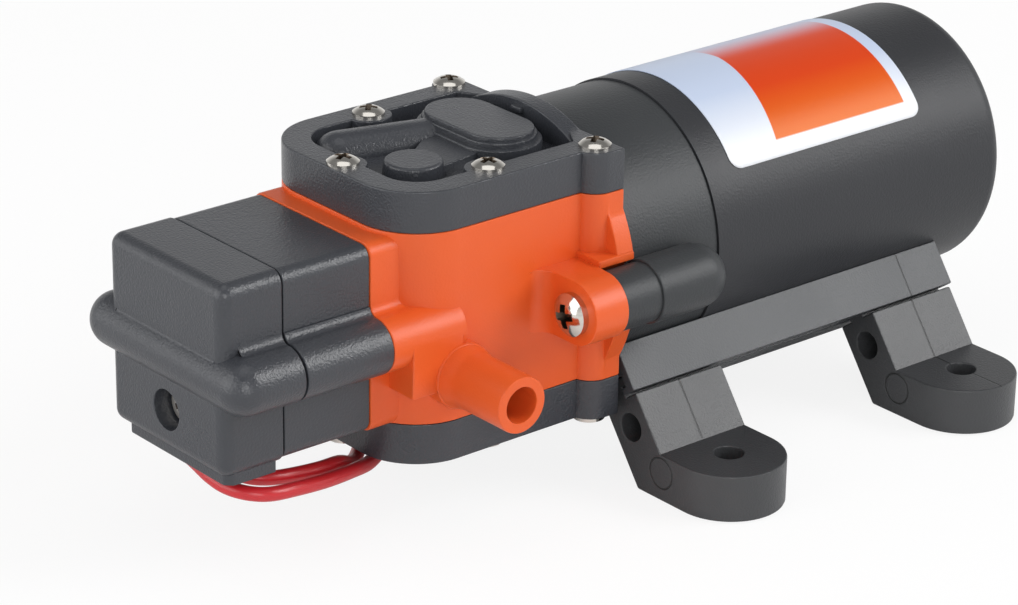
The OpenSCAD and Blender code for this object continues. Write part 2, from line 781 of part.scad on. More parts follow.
module clamp_screws() {
  color(steel) on_axis() {
    clamp_screw();
    mirror([0, 0, 1]) clamp_screw();
  }
}

module eccentric() {
  color(steel) on_axis() difference() {
    union() {
      translate([0, throw, 0]) bar_x(pump_x - yoke_w / 2 - 1, pump_x + ecc_bearing_w / 2, ecc_bearing_bore / 2 - seat_gap);
      bar_x(pump_x + ecc_bearing_w / 2, pump_x + ecc_bearing_w / 2 + 2, ecc_bearing_bore / 2 + throw);
    }
    bar_x(pump_x - yoke_w, pump_x + yoke_w, shaft_d / 2 + seat_gap);
  }
}

module eccentric_bearing() {
  color(steel) on_axis() translate([0, throw, 0]) difference() {
    bar_x(pump_x - ecc_bearing_w / 2, pump_x + ecc_bearing_w / 2, ecc_bearing_d / 2);
    bar_x(pump_x - ecc_bearing_w, pump_x + ecc_bearing_w, ecc_bearing_bore / 2);
  }
}

// Motor

module motor_shaft() {
  color(steel) on_axis() bar_x(pump_x - yoke_w / 2 - 1, can_rear - can_wall - 1, shaft_d / 2);
}

module armature_core() {
  slots = 8;
  color(steel) on_axis() difference() {
    bar_x(armature_x, armature_x + armature_len, armature_d / 2);
    bar_x(armature_x - cut, armature_x + armature_len + cut, shaft_d / 2 + seat_gap);
    for (i = [0:slots - 1]) rotate([360 * i / slots, 0, 0]) {
      translate([0, armature_d / 2 - 5, 0]) bar_x(armature_x - cut, armature_x + armature_len + cut, 2.6);
      translate([armature_x - cut, armature_d / 2 - 5, -0.8]) cube([armature_len + 2 * cut, 6, 1.6]);
    }
  }
}

// Coil ends on both faces of the stack, with the wires that fill the slots
module armature_windings() {
  slots = 8;
  color(copper) on_axis() {
    difference() {
      union() {
        bar_x(armature_x - end_coil, armature_x - seat_gap, armature_d / 2 - 2);
        bar_x(armature_x + armature_len + seat_gap, armature_x + armature_len + end_coil, armature_d / 2 - 2);
      }
      bar_x(armature_x - 2 * end_coil, armature_x + armature_len + 2 * end_coil, shaft_d / 2 + 1.5);
    }
    for (i = [0:slots - 1]) rotate([360 * i / slots, 0, 0]) translate([0, armature_d / 2 - 5, 0])
      bar_x(armature_x - 1, armature_x + armature_len + 1, 2.4);
  }
}

module commutator() {
  bars = 8;
  color(copper) on_axis() difference() {
    bar_x(commutator_x - commutator_len, commutator_x, commutator_d / 2);
    bar_x(commutator_x - commutator_len - cut, commutator_x + cut, shaft_d / 2 + seat_gap);
    for (i = [0:bars - 1]) rotate([360 * (i + 0.5) / bars, 0, 0])
      translate([commutator_x - commutator_len - cut, commutator_d / 2 - 1, -0.2])
        cube([commutator_len - 1 + cut, 2, 0.4]);
  }
}

module bearing_at(x) {
  difference() {
    bar_x(x, x + bearing_w, bearing_d / 2);
    bar_x(x - cut, x + bearing_w + cut, shaft_d / 2 + run_gap);
  }
}

module front_bearing() {
  color(steel) on_axis() bearing_at(head_rear + (front_t - bearing_w) / 2);
}

module rear_bearing() {
  color(steel) on_axis() bearing_at(rear_bearing_x);
}

// The adapter's ear for a motor screw: a slim nose in the head, fuller behind it
module adapter_ear() {
  translate([0, motor_screw_y, 0]) {
    bar_x(motor_boss_back, head_rear, motor_boss_r - 0.4);
    bar_x(head_rear, motor_boss_end - motor_boss_r, motor_boss_r);
    translate([motor_boss_end - motor_boss_r, 0, 0]) sphere(motor_boss_r);
  }
}

module motor_adapter() {
  barrel_r = adapter_d / 2;
  color(black_plastic) on_axis() difference() {
    union() {
      bar_x(head_rear, can_x, barrel_r);
      both_sides() adapter_ear();
    }
    bar_x(head_rear + front_t, can_x + cut, barrel_r - adapter_wall);
    bar_x(head_rear - cut, can_x, bearing_d / 2 + seat_gap);
    bar_x(can_x, can_rear, can_r + seat_gap);
    both_sides() translate([0, motor_screw_y, 0])
      bar_x(motor_boss_back - cut, motor_boss_front + motor_screw_len + 2, motor_screw_d / 2 + screw_gap);
    for (x = lead_entries) at_grommet(x) cylinder(h = 10, r = grommet_r + seat_gap, center = true);
    cradle_space();
  }
}

// The barrel is trimmed where the cradle passes under it
module cradle_space() {
  along_x(cradle_front - seat_gap, cradle_rear) difference() {
    cradle_outline();
    circle(adapter_d / 2);
  }
}

// A place on the barrel's far side where a lead goes in, Z pointing outwards
module at_grommet(x) {
  translate([x, 0, 0]) rotate([-90 - grommet_angle, 0, 0]) translate([0, 0, adapter_d / 2]) children();
}

module lead_grommets() {
  color(black_rubber) on_axis() for (x = lead_entries) at_grommet(x) difference() {
    union() {
      translate([0, 0, 0.3]) cylinder(h = 1.5, r = grommet_rim_r);
      translate([0, 0, -adapter_wall]) cylinder(h = adapter_wall + 0.6, r = grommet_r);
    }
    translate([0, 0, -5]) cylinder(h = 10, r = lead_d / 2 + 0.25);
  }
}

module motor_can() {
  seat = bearing_d / 2 + seat_gap;
  color(black_plastic) on_axis() translate([can_x, 0, 0]) rotate([0, 90, 0]) difference() {
    rotate_extrude() {
      square([can_r, can_len - can_rim_r]);
      square([can_r - can_rim_r, can_len]);
      translate([can_r - can_rim_r, can_len - can_rim_r]) circle(can_rim_r);
    }
    difference() {
      translate([0, 0, -cut]) cylinder(h = can_len - can_wall + cut, r = can_bore_r);
      // Cup that holds the rear bearing
      translate([0, 0, rear_bearing_x - can_x]) cylinder(h = bearing_w + bearing_back + cut, r = seat + 1.5);
    }
    translate([0, 0, rear_bearing_x - can_x - cut]) cylinder(h = bearing_w + bearing_back + cut, r = seat);
  }
}

module magnets() {
  span = 130;
  inner = can_bore_r - magnet_t;
  color(black_rubber) on_axis() for (s = [0, 180]) rotate([s, 0, 0])
    translate([armature_x - 2, 0, 0]) rotate([90, 0, 90]) rotate([0, 0, 90 - span / 2])
      rotate_extrude(angle = span) translate([inner, 0]) square([magnet_t - seat_gap, armature_len + 4]);
}

brush_x = commutator_x - commutator_len / 2;
card_x = commutator_x - commutator_len - brush_card_t - 1;

// The card across the adapter, with a guide for each brush
module brush_card() {
  guide_in = commutator_d / 2 + 1.5;
  guide_out = adapter_d / 2 - adapter_wall - 3.5;
  color(natural) on_axis() difference() {
    union() {
      bar_x(card_x, card_x + brush_card_t, adapter_d / 2 - adapter_wall - seat_gap);
      for (s = [0, 180]) rotate([s, 0, 0]) translate([card_x, -brush_w / 2 - holder_wall, guide_in])
        cube([brush_x + brush_t / 2 + holder_wall - card_x, brush_w + 2 * holder_wall, guide_out - guide_in]);
    }
    bar_x(card_x - cut, card_x + brush_card_t + cut, commutator_d / 2 + 1);
    for (s = [0, 180]) rotate([s, 0, 0]) translate([brush_x - brush_t / 2 - seat_gap, -brush_w / 2 - seat_gap, 0])
      cube([brush_t + 2 * seat_gap, brush_w + 2 * seat_gap, can_d]);
  }
}

module brushes() {
  color(black_rubber) on_axis() for (s = [0, 180]) rotate([s, 0, 0]) difference() {
    translate([brush_x - brush_t / 2, -brush_w / 2, 0]) cube([brush_t, brush_w, commutator_d / 2 + brush_len]);
    bar_x(brush_x - brush_t, brush_x + brush_t, commutator_d / 2 + 2 * run_gap);
  }
}

module brush_springs() {
  start = commutator_d / 2 + brush_len;
  color(steel) on_axis() for (s = [0, 180]) rotate([s, 0, 0]) translate([brush_x, 0, start + seat_gap])
    coil(brush_spring_h, 1.4, brush_wire, brush_turns);
}

module motor_screws() {
  color(steel) on_axis() both_sides() translate([motor_boss_front, motor_screw_y, 0]) rotate([0, -90, 0])
    cross_screw(motor_screw_d, motor_screw_len, motor_head_d, motor_head_h);
}

module motor_label() {
  color(white) on_axis() translate([label_x, 0, 0]) rotate([90, 0, 90]) rotate([0, 0, 90 - label_wrap / 2])
    rotate_extrude(angle = label_wrap) translate([can_r + 0.01, 0]) square([label_t, label_len]);
}

// Cradle and feet

// A point seen in the mirror of the motor's middle plane
function mirrored(p) = [-p.x, p.y];
function reversed(v) = [for (i = [len(v) - 1:-1:0]) v[i]];

// The cradle across the motor, before the can and the grooves are cut out
module cradle_outline() {
  half = [rail_top, rail_edge, rail_inner, [rail_inner.x - 2, cradle_z]];
  polygon(concat([[0, 0]], half, [for (p = reversed(half)) mirrored(p)]));
}

// A place on the tongue: a is along the cradle's underside, h is the height into the cradle
function on_tongue(a, h) = (rail_edge + rail_inner) / 2 - a * lean_in - h * lean_out;

// Corners of the tongue, from its outer root round to its inner root, grown by gap
function tongue_points(root, gap) = [
  on_tongue(tongue_w / 2 + gap, root), on_tongue(tongue_w / 2 + gap, tongue_h - gap),
  on_tongue(tongue_head_w / 2 + gap, tongue_h - gap),
  on_tongue(tongue_head_w / 2 + gap, tongue_h + tongue_head_h + gap),
  on_tongue(-tongue_head_w / 2 - gap, tongue_h + tongue_head_h + gap),
  on_tongue(-tongue_head_w / 2 - gap, tongue_h - gap),
  on_tongue(-tongue_w / 2 - gap, tongue_h - gap), on_tongue(-tongue_w / 2 - gap, root)];

module cradle() {
  color(black_plastic) on_axis() difference() {
    along_x(cradle_front, cradle_rear) difference() {
      cradle_outline();
      circle(can_r + seat_gap);
      groove = tongue_points(-cut, tongue_gap);
      polygon(groove);
      polygon([for (p = reversed(groove)) mirrored(p)]);
    }
    bar_x(cradle_front - cut, can_x + seat_gap, adapter_d / 2 + seat_gap);
    for (x = [-1, 1]) translate([x * hole_dx / 4, 0, cradle_z - cut])
      cylinder(h = cradle_floor + 2 * cut, d = cover_screw_d + 2 * screw_gap);
  }
}

module cradle_screws() {
  color(steel) on_axis() for (x = [-1, 1]) translate([x * hole_dx / 4, 0, cradle_z]) rotate([180, 0, 0])
    cross_screw(cover_screw_d, cradle_floor - 2 * seat_gap, cover_head_d, cover_head_h);
}

// One foot across the motor: leaning leg, pad and the tongue that the cradle holds
module foot_outline() {
  leg_top_out = rail_edge + leg_inset * lean_in + leg_gap * lean_out;
  leg_top_in = leg_top_out + leg_t * lean_in;
  pad_z = pad_t - axis_h;
  leg_foot = leg_top_out + (leg_top_out.y - pad_z) / cos(leg_lean) * lean_out;
  inner_foot = leg_top_in + (leg_top_in.y + axis_h) / cos(leg_lean) * lean_out;
  end_y = hole_dy / 2 + pad_r;
  polygon(concat([leg_top_out, leg_foot, [end_y, pad_z], [end_y, -axis_h], inner_foot, leg_top_in],
                 reversed(tongue_points(-leg_gap, 0))));
}

module foot() {
  pad_z = pad_t - axis_h;
  hole_at = rail_edge + (leg_inset + leg_t / 2) * lean_in + 5.2 * lean_out;
  difference() {
    intersection() {
      along_x(-foot_len / 2, foot_len / 2) foot_outline();
      translate([0, 0, -axis_h]) linear_extrude(axis_h) {
        translate([-foot_len / 2, 0]) square([foot_len, hole_dy / 2]);
        translate([0, hole_dy / 2]) circle(pad_r);
      }
    }
    translate([0, hole_dy / 2, -axis_h - cut]) cylinder(h = pad_t + 2 * cut, d = hole_d);
    translate([0, hole_at.x, hole_at.y]) bar_x(-foot_len, foot_len, leg_hole_d / 2);
  }
}

module foot_at(x, side) {
  color(black_rubber) on_axis() translate([x * hole_dx / 2, 0, 0])
    if (side > 0) foot(); else mirror([0, 1, 0]) foot();
}

module front_left_foot() { foot_at(-1, 1); }
module front_right_foot() { foot_at(-1, -1); }
module rear_left_foot() { foot_at(1, 1); }
module rear_right_foot() { foot_at(1, -1); }

// Pressure switch

module switch_base() {
  color(black_plastic) on_axis() difference() {
    along_x(base_front + seam_gap, neck_front) {
      switch_rect(-seam_inset);
      bead_outline();
    }
    // Open front, with a wall left as the plunger's guide
    along_x(base_front - cut, guide_front) switch_rect(-switch_wall);
    along_x(guide_front + guide_t, neck_front - rear_wall) switch_rect(-switch_wall - 2.5);
    bar_x(neck_front - diaphragm_switch_t, neck_front + cut, diaphragm_switch_r + seat_gap);
    bar_x(neck_front - rear_wall - cut, neck_front, plunger_head_r + run_gap);
    bar_x(guide_front - cut, neck_front, plunger_stem_r + run_gap);
    for (s = [-1, 1]) translate([0, s * base_screw_y, s * base_screw_z])
      bar_x(base_front, neck_front + cut, cover_screw_d / 2 + screw_gap);
    translate([0, 0, cap_screw_z]) bar_x(base_front - cut, guide_front + guide_t + 4, 1.5 + screw_gap);
  }
}

// Two screws inside the base that hold it to the pump body
module switch_base_screws() {
  color(steel) on_axis() for (s = [-1, 1]) translate([guide_front, s * base_screw_y, s * base_screw_z])
    rotate([0, -90, 0]) cross_screw(cover_screw_d, neck_front - guide_front + 6, 4.4, 1.6);
}

// The cap's bead goes round three sides, with round corners in front
module cap_bead() {
  front = cap_front - bead_front + bead_r;
  translate([front, -bead_y, bead_z - bead_r]) cube([base_front - front, 2 * bead_y, 2 * bead_r]);
  translate([front, 0, bead_z]) {
    rotate([90, 0, 0]) cylinder(h = 2 * bead_y, r = bead_r, center = true);
    for (s = [-1, 1]) translate([0, s * bead_y, 0]) {
      sphere(bead_r);
      bar_x(0, base_front - front, bead_r);
    }
  }
}

// Section of the concave fillets above and below the bead on the cap's front face
module front_fillet() {
  back = bead_r - bead_front;
  up = sqrt(pow(bead_r + front_fillet_r, 2) - pow(back + front_fillet_r, 2));
  for (s = [-1, 1]) difference() {
    polygon([[0, s * up], [-front_fillet_r, s * up], [back, 0]]);
    translate([-front_fillet_r, s * up]) circle(front_fillet_r);
  }
}

// The cap's box: upright corners and a rounded front edge
module cap_box() {
  r = switch_r;
  y = switch_w / 2 - r;
  z = switch_h / 2 - r;
  along_x(cap_front + r, base_front) switch_rect(0);
  translate([cap_front + r, 0, switch_z]) {
    translate([-r, -y, -z]) cube([2 * r, 2 * y, 2 * z]);
    for (s = [-1, 1]) {
      translate([0, s * y, 0]) cylinder(h = 2 * z, r = r, center = true);
      translate([0, 0, s * z]) rotate([90, 0, 0]) cylinder(h = 2 * y, r = r, center = true);
      for (t = [-1, 1]) translate([0, s * y, t * z]) sphere(r);
    }
  }
}

module switch_cap() {
  lip_x0 = cap_front + 1.2;
  lip_x1 = base_front - 0.9;
  color(black_plastic) on_axis() difference() {
    union() {
      difference() {
        union() {
          cap_box();
          cap_bead();
          along_x(cap_front - bead_front + bead_r, base_front) bead_outline();
          translate([cap_front, 0, bead_z]) rotate([90, 0, 0])
            linear_extrude(switch_w - 2 * switch_r, center = true) front_fillet();
          translate([0, 0, switch_low - lip_t]) linear_extrude(lip_t + switch_wall)
            polygon([[lip_x0, lip_far_y], [lip_x0, lip_near_y + lip_corner],
                     [lip_x0 + lip_corner, lip_near_y], [lip_x1, lip_near_y], [lip_x1, lip_far_y]]);
        }
        along_x(cap_front + switch_wall + 0.4, base_front + cut) switch_rect(-switch_wall);
      }
      translate([0, 0, cap_screw_z]) bar_x(cap_front + 1, base_front, cap_screw_post_r);
    }
    translate([0, 0, cap_screw_z]) bar_x(cap_front - cut, cap_front + cap_screw_well_d, cap_screw_well_r);
    translate([0, 0, cap_screw_z]) bar_x(cap_front, base_front + cut, 1.5 + screw_gap);
    for (route = [lead_outer_route, lead_inner_route]) translate([route[0].x, route[0].y - 0.6, -switch_h])
      linear_extrude(switch_h + switch_low + switch_wall + 0.5) slot_y(lead_d + 2.2, lead_d + 0.5);
  }
}

module switch_cap_screw() {
  color(steel) on_axis() translate([cap_front + cap_screw_well_d, 0, cap_screw_z]) rotate([0, -90, 0])
    cross_screw(3, cap_len - cap_screw_well_d + base_len - 8, 5.6, 1.8);
}

module switch_diaphragm() {
  color(black_rubber) on_axis() bar_x(neck_front - diaphragm_switch_t + seat_gap, neck_front - seat_gap, diaphragm_switch_r);
}

module switch_plunger() {
  head_front_x = neck_front - rear_wall;
  color(natural) on_axis() {
    bar_x(head_front_x, neck_front - diaphragm_switch_t - seat_gap, plunger_head_r);
    bar_x(stem_end, head_front_x + 0.5, plunger_stem_r);
  }
}

module switch_spring() {
  color(steel) on_axis() translate([guide_front + guide_t + seat_gap, 0, 0]) rotate([0, 90, 0])
    coil(switch_spring_h, plunger_stem_r + 0.9, switch_wire, switch_turns);
}

module micro_switch() {
  color(black_rubber) on_axis() difference() {
    union() {
      translate([micro_front - micro_depth, -micro_w / 2, -micro_h / 2]) cube([micro_depth, micro_w, micro_h]);
      // Feet that stand on the guide wall, and the two terminals
      for (s = [-1, 1]) translate([micro_front, s * (micro_w / 2 - 2), 0])
        bar_x(-0.1, guide_front - micro_front - seat_gap, 1.3);
    }
    bar_x(micro_front - plunger_travel - 2, micro_front + cut, button_r + run_gap);
  }
}

module micro_switch_button() {
  color(lead_red) on_axis() bar_x(micro_front - 1, button_tip, button_r);
}

module red_lead_outer() {
  color(lead_red) on_axis() tube(refined(lead_outer_route), lead_d / 2, 8);
}

module red_lead_inner() {
  color(lead_red) on_axis() tube(refined(lead_inner_route), lead_d / 2, 8);
}

pump_body();
top_cover();
bottom_cover();
top_cover_screws();
bottom_cover_screws();
top_valve_plate();
bottom_valve_plate();
inlet_valves();
outlet_valves();
top_diaphragm();
bottom_diaphragm();
yoke();
clamp_plates();
clamp_screws();
eccentric();
eccentric_bearing();
motor_shaft();
armature_core();
armature_windings();
commutator();
front_bearing();
rear_bearing();
motor_adapter();
motor_can();
magnets();
brush_card();
brushes();
brush_springs();
motor_screws();
motor_label();
cradle();
cradle_screws();
front_left_foot();
front_right_foot();
rear_left_foot();
rear_right_foot();
switch_base();
switch_cap();
switch_cap_screw();
switch_base_screws();
switch_diaphragm();
switch_plunger();
switch_spring();
micro_switch();
micro_switch_button();
red_lead_outer();
red_lead_inner();
lead_grommets();
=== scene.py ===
# %% [markdown]
# # A caravan water pump
# The imported CAD model is the fixed frame: every piece below sits where the CAD says.
# The frame comes first.

# %% Load the frame
import math

import bmesh
import bpy
from mathutils import Euler, Matrix, Vector


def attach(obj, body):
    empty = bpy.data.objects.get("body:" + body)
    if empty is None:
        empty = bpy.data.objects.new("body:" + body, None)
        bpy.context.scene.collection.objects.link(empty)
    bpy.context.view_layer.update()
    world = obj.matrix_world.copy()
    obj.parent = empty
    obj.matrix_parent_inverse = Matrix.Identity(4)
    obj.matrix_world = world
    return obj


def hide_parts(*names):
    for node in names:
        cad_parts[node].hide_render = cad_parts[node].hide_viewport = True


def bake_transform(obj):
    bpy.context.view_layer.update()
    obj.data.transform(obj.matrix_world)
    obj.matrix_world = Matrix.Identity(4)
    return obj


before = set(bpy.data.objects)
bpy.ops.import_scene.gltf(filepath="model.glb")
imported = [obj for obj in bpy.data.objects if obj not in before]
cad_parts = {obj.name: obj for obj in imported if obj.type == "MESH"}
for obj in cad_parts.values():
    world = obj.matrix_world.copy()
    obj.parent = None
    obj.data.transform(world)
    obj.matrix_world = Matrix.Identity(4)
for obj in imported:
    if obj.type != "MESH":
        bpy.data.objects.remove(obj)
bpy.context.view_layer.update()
scene = bpy.context.scene
MM = 0.001
AXIS_Z = 36.3


def place_object(name, data):
    """A new object in the scene."""
    made = bpy.data.objects.new(name, data)
    scene.collection.objects.link(made)
    return made


# %% [markdown]
# ## Camera
# The photograph was taken with a long lens from the front, left and above.
# The place, the lens and the small frame shift were found by fitting a camera to the
# object's own straight lines, so the picture can be laid over the photograph.

# %% Camera
CAMERA_AT = Vector((-416.98, -442.36, 272.22)) * MM
BACK = Vector((-0.59280, -0.70318, 0.39260))
RIGHT = Vector((0.76457, -0.64455, 0.0))
UP = Vector((0.25305, 0.30017, 0.91972))
ROLL = math.radians(0.809)

camera_data = bpy.data.cameras.new("camera")
camera_data.lens = 132.97
camera_data.sensor_width = 36.0
camera_data.shift_x = 0.0027
camera_data.shift_y = 0.0080
camera_data.clip_start = 0.01
camera = place_object("camera", camera_data)
right = math.cos(ROLL) * RIGHT + math.sin(ROLL) * UP
up = -math.sin(ROLL) * RIGHT + math.cos(ROLL) * UP
camera.matrix_world = Matrix.Translation(CAMERA_AT) @ Matrix((right, up, BACK)).transposed().to_4x4()
scene.camera = camera
print("camera distance in mm:", round(CAMERA_AT.length / MM))

# %% [markdown]
# ## Colours and nodes
# Colours are written as sRGB hex values and turned to linear light in one place.
# One small helper adds a node with its settings and links, and a few more build on it: a sum, a range
# mapped to another, a mix of two colours and a noise pattern.

# %% Colour and node helpers
def linear(hex_colour):
    """An sRGB hex colour as linear RGBA."""
    parts = [int(hex_colour[i:i + 2], 16) / 255 for i in (1, 3, 5)]
    return tuple(c / 12.92 if c <= 0.04045 else ((c + 0.055) / 1.055) ** 2.4 for c in parts) + (1.0,)


def add(tree, kind, inputs=None, **settings):
    """Adds a node, sets its properties, and links or fills its inputs."""
    node = tree.nodes.new(kind)
    for name, value in settings.items():
        setattr(node, name, value)
    for name, value in (inputs or {}).items():
        if isinstance(value, bpy.types.NodeSocket):
            tree.links.new(value, node.inputs[name])
        else:
            node.inputs[name].default_value = value
    return node


def work(tree, operation, a, b=0.0, c=0.0):
    """A sum in a node tree."""
    return add(tree, "ShaderNodeMath", {0: a, 1: b, 2: c}, operation=operation).outputs[0]


def remap(tree, value, start, end, first=0.0, last=1.0, **settings):
    """A value mapped from one range to another, and held within it."""
    return add(tree, "ShaderNodeMapRange", {"Value": value, "From Min": start, "From Max": end,
                                            "To Min": first, "To Max": last}, **settings).outputs[0]


def mix(tree, factor, a, b):
    """A colour between two others."""
    return add(tree, "ShaderNodeMix", {"Factor": factor, "A": a, "B": b}, data_type="RGBA").outputs["Result"]


def noise(tree, place, size_mm, detail):
    """A noise pattern with grains of a size in millimetres."""
    return add(tree, "ShaderNodeTexNoise", {"Vector": place, "Scale": 1 / MM / size_mm,
                                            "Detail": detail}).outputs["Fac"]


def new_material(name):
    """An empty material with its principled shader and object coordinates."""
    material = bpy.data.materials.new(name)
    material.use_nodes = True
    tree = material.node_tree
    shader = tree.nodes["Principled BSDF"]
    place = add(tree, "ShaderNodeTexCoord").outputs["Object"]
    return material, tree, shader, place


print("middle grey in linear light:", [round(c, 3) for c in linear("#808080")[:3]])

# %% [markdown]
# ## Moulded plastics and rubber
# The covers, the switch and the adapter are plastics from spark-eroded moulds: a satin, slightly
# grainy black that reads as dark grey in soft light. The pump body is ABS in orange.
# The grain is drawn a little coarser than real, because a true 0.1 mm grain would not show.

# %% Moulded materials
CLOUD_MM, CLOUD_DETAIL, GRAIN_DETAIL = 14, 3.0, 2.0
GLOSS_SPREAD, GRAIN_STRENGTH = 0.05, 0.8


def moulded(name, base, light, roughness, grain_mm, grain_depth, specular=0.5):
    """A moulded plastic or rubber: cloudy colour, fine grain and uneven gloss."""
    material, tree, shader, place = new_material(name)
    cloud = noise(tree, place, CLOUD_MM, CLOUD_DETAIL)
    shader.inputs["Specular IOR Level"].default_value = specular
    tree.links.new(mix(tree, cloud, linear(base), linear(light)), shader.inputs["Base Color"])
    gloss = remap(tree, cloud, 0.0, 1.0, roughness - GLOSS_SPREAD, roughness + GLOSS_SPREAD)
    tree.links.new(gloss, shader.inputs["Roughness"])
    bump = add(tree, "ShaderNodeBump", {"Height": noise(tree, place, grain_mm, GRAIN_DETAIL),
                                        "Strength": GRAIN_STRENGTH, "Distance": grain_depth * MM})
    tree.links.new(bump.outputs["Normal"], shader.inputs["Normal"])
    return material


# ABS, moulded, satin black: dark grey with soft broad highlights
black_abs = moulded("black_abs", "#32343A", "#393B3F", roughness=0.29, grain_mm=0.4, grain_depth=0.12)
# Glass-filled nylon, moulded: the adapter, duller than the ABS
black_nylon = moulded("black_filled_nylon", "#323436", "#393B3D", roughness=0.40, grain_mm=0.4,
                      grain_depth=0.08, specular=0.28)
# The same nylon in the cradle, a little paler and finer in its grain
cradle_nylon = moulded("cradle_filled_nylon", "#383A3D", "#3F4144", roughness=0.38, grain_mm=0.36,
                       grain_depth=0.08, specular=0.4)
# ABS, moulded, orange: even and satin
orange_abs = moulded("orange_abs", "#D45420", "#DA5C28", roughness=0.36, grain_mm=0.36, grain_depth=0.04,
                     specular=0.35)
# Nitrile rubber, moulded: the inner seals, darker and duller than the ABS, with a coarser skin
black_rubber = moulded("black_nitrile_rubber", "#2A2B2D", "#323335", roughness=0.38, grain_mm=0.5,
                       grain_depth=0.08)
# Nitrile rubber of the feet, paler and finer in its grain
foot_rubber = moulded("foot_nitrile_rubber", "#353638", "#3D3E40", roughness=0.40, grain_mm=0.36,
                      grain_depth=0.09)
# Acetal, moulded, natural white: inner pieces
white_acetal = moulded("white_acetal", "#E4E2D8", "#EEECE4", roughness=0.35, grain_mm=0.5, grain_depth=0.02)
# Powder paint on drawn steel: fine even grain, darker and duller than the plastic
black_paint = moulded("black_powder_paint", "#2B2C2F", "#313235", roughness=0.40, grain_mm=0.4,
                      grain_depth=0.07, specular=0.28)
# Pressed carbon and sintered ferrite: dull dark solids
carbon = moulded("pressed_carbon", "#232324", "#2C2C2D", roughness=0.6, grain_mm=0.3, grain_depth=0.04)
ferrite = moulded("sintered_ferrite", "#3A3836", "#44423F", roughness=0.6, grain_mm=0.4, grain_depth=0.04)
# PVC, extruded, red: the leads' smooth skin
red_pvc = moulded("red_pvc", "#B81F27", "#C2262C", roughness=0.3, grain_mm=0.8, grain_depth=0.01)
print("moulded materials:", [m.name for m in (black_abs, orange_abs, black_rubber, black_paint)])

# %% [markdown]
# ## Mould lines
# The feet and the cradle show their moulds: a fine parting line across the middle of each leg and of the
# rear pads, the same line across the rear end of each rail, and the round mark of an ejector pin on each
# foot's end faces. The lines are masks worked out from the object coordinates, and each mask sinks the
# surface a little and darkens it with painted shade, the shade that falls in a sunk line.

# %% Scored materials
FOOT_X, FOOT_HALF, PAD_TOP = 27.45, 9.65, 8.2
PIN_MARK_Y, PIN_MARK_Z, PIN_MARK_R = 31.8, 5.0, 2.7
# The lines' colours are painted shade: the dark that falls in a sunk line
FOOT_LINE_HALF, FOOT_LINE_DEPTH, FOOT_LINE_SHADE = 0.09, 0.15, "#141516"
RAIL_LINE_HALF, RAIL_LINE_DEPTH, RAIL_LINE_SHADE = 0.08, 0.12, "#1A1B1C"
END_BAND, PAD_BAND = 0.3, 0.2
SINK_STRENGTH = 0.9


def line_mask(tree, distance, half_mm):
    """1 within a distance in metres, with a soft edge."""
    return remap(tree, distance, half_mm * MM, 2 * half_mm * MM, 1.0, 0.0)


def distance_from(tree, value, place_mm):
    """How far a coordinate lies from a place, on either side."""
    return work(tree, "ABSOLUTE", work(tree, "SUBTRACT", value, place_mm * MM))


def coordinates(tree):
    """The X, Y and Z of a material's object coordinates."""
    place = add(tree, "ShaderNodeTexCoord").outputs["Object"]
    return add(tree, "ShaderNodeSeparateXYZ", {0: place}).outputs


def scored(material, mask, painted_shade, depth):
    """Sinks a moulded material along a mask and darkens it there with painted shade."""
    tree = material.node_tree
    shader = tree.nodes["Principled BSDF"]
    colour = shader.inputs["Base Color"].links[0].from_socket
    tree.links.new(mix(tree, mask, colour, linear(painted_shade)), shader.inputs["Base Color"])
    skin = shader.inputs["Normal"].links[0].from_socket
    dip = add(tree, "ShaderNodeBump", {"Height": mask, "Normal": skin, "Strength": SINK_STRENGTH,
                                       "Distance": depth * MM}, invert=True)
    tree.links.new(dip.outputs["Normal"], shader.inputs["Normal"])


# The feet: a parting line on the legs and the rear pads, a pin's ring on the end faces, darkened with
# painted shade
tree = foot_rubber.node_tree
at = coordinates(tree)
from_middle = distance_from(tree, work(tree, "ABSOLUTE", at["X"]), FOOT_X)
across = work(tree, "SUBTRACT", work(tree, "ABSOLUTE", at["Y"]), PIN_MARK_Y * MM)
above = work(tree, "SUBTRACT", at["Z"], PIN_MARK_Z * MM)
squares = [work(tree, "MULTIPLY", side, side) for side in (across, above)]
from_pin = work(tree, "SQRT", work(tree, "ADD", *squares))
pin_ring = line_mask(tree, distance_from(tree, from_pin, PIN_MARK_R), FOOT_LINE_HALF)
on_end = work(tree, "GREATER_THAN", from_middle, (FOOT_HALF - END_BAND) * MM)
on_leg = work(tree, "GREATER_THAN", at["Z"], (PAD_TOP + PAD_BAND) * MM)
on_pad = work(tree, "GREATER_THAN", at["Z"], (PAD_TOP - PAD_BAND) * MM)
on_rear_pad = work(tree, "MULTIPLY", on_pad, work(tree, "GREATER_THAN", at["X"], 0.0))
parting = work(tree, "MULTIPLY", line_mask(tree, from_middle, FOOT_LINE_HALF),
               work(tree, "MAXIMUM", on_leg, on_rear_pad))
foot_marks = work(tree, "MAXIMUM", parting, work(tree, "MULTIPLY", pin_ring, on_end))
scored(foot_rubber, foot_marks, FOOT_LINE_SHADE, FOOT_LINE_DEPTH)

# The cradle: a parting line across the rear end of each rail, darkened with painted shade
tree = cradle_nylon.node_tree
rail_line = line_mask(tree, distance_from(tree, coordinates(tree)["X"], FOOT_X), RAIL_LINE_HALF)
scored(cradle_nylon, rail_line, RAIL_LINE_SHADE, RAIL_LINE_DEPTH)
print("scored materials:", [m.name for m in (foot_rubber, cradle_nylon)])

# %% [markdown]
# ## Metals
# The screws are nickel plated and bright, with fine scratches from the driver.
# The motor's inner metals are ground steel, stamped silicon steel and copper.

# %% Metals
SCRATCH_STRETCH, SCRATCH_DETAIL = (1.0, 1.0, 0.15), 4.0
BRIGHTER, DULLER = 0.08, 0.1


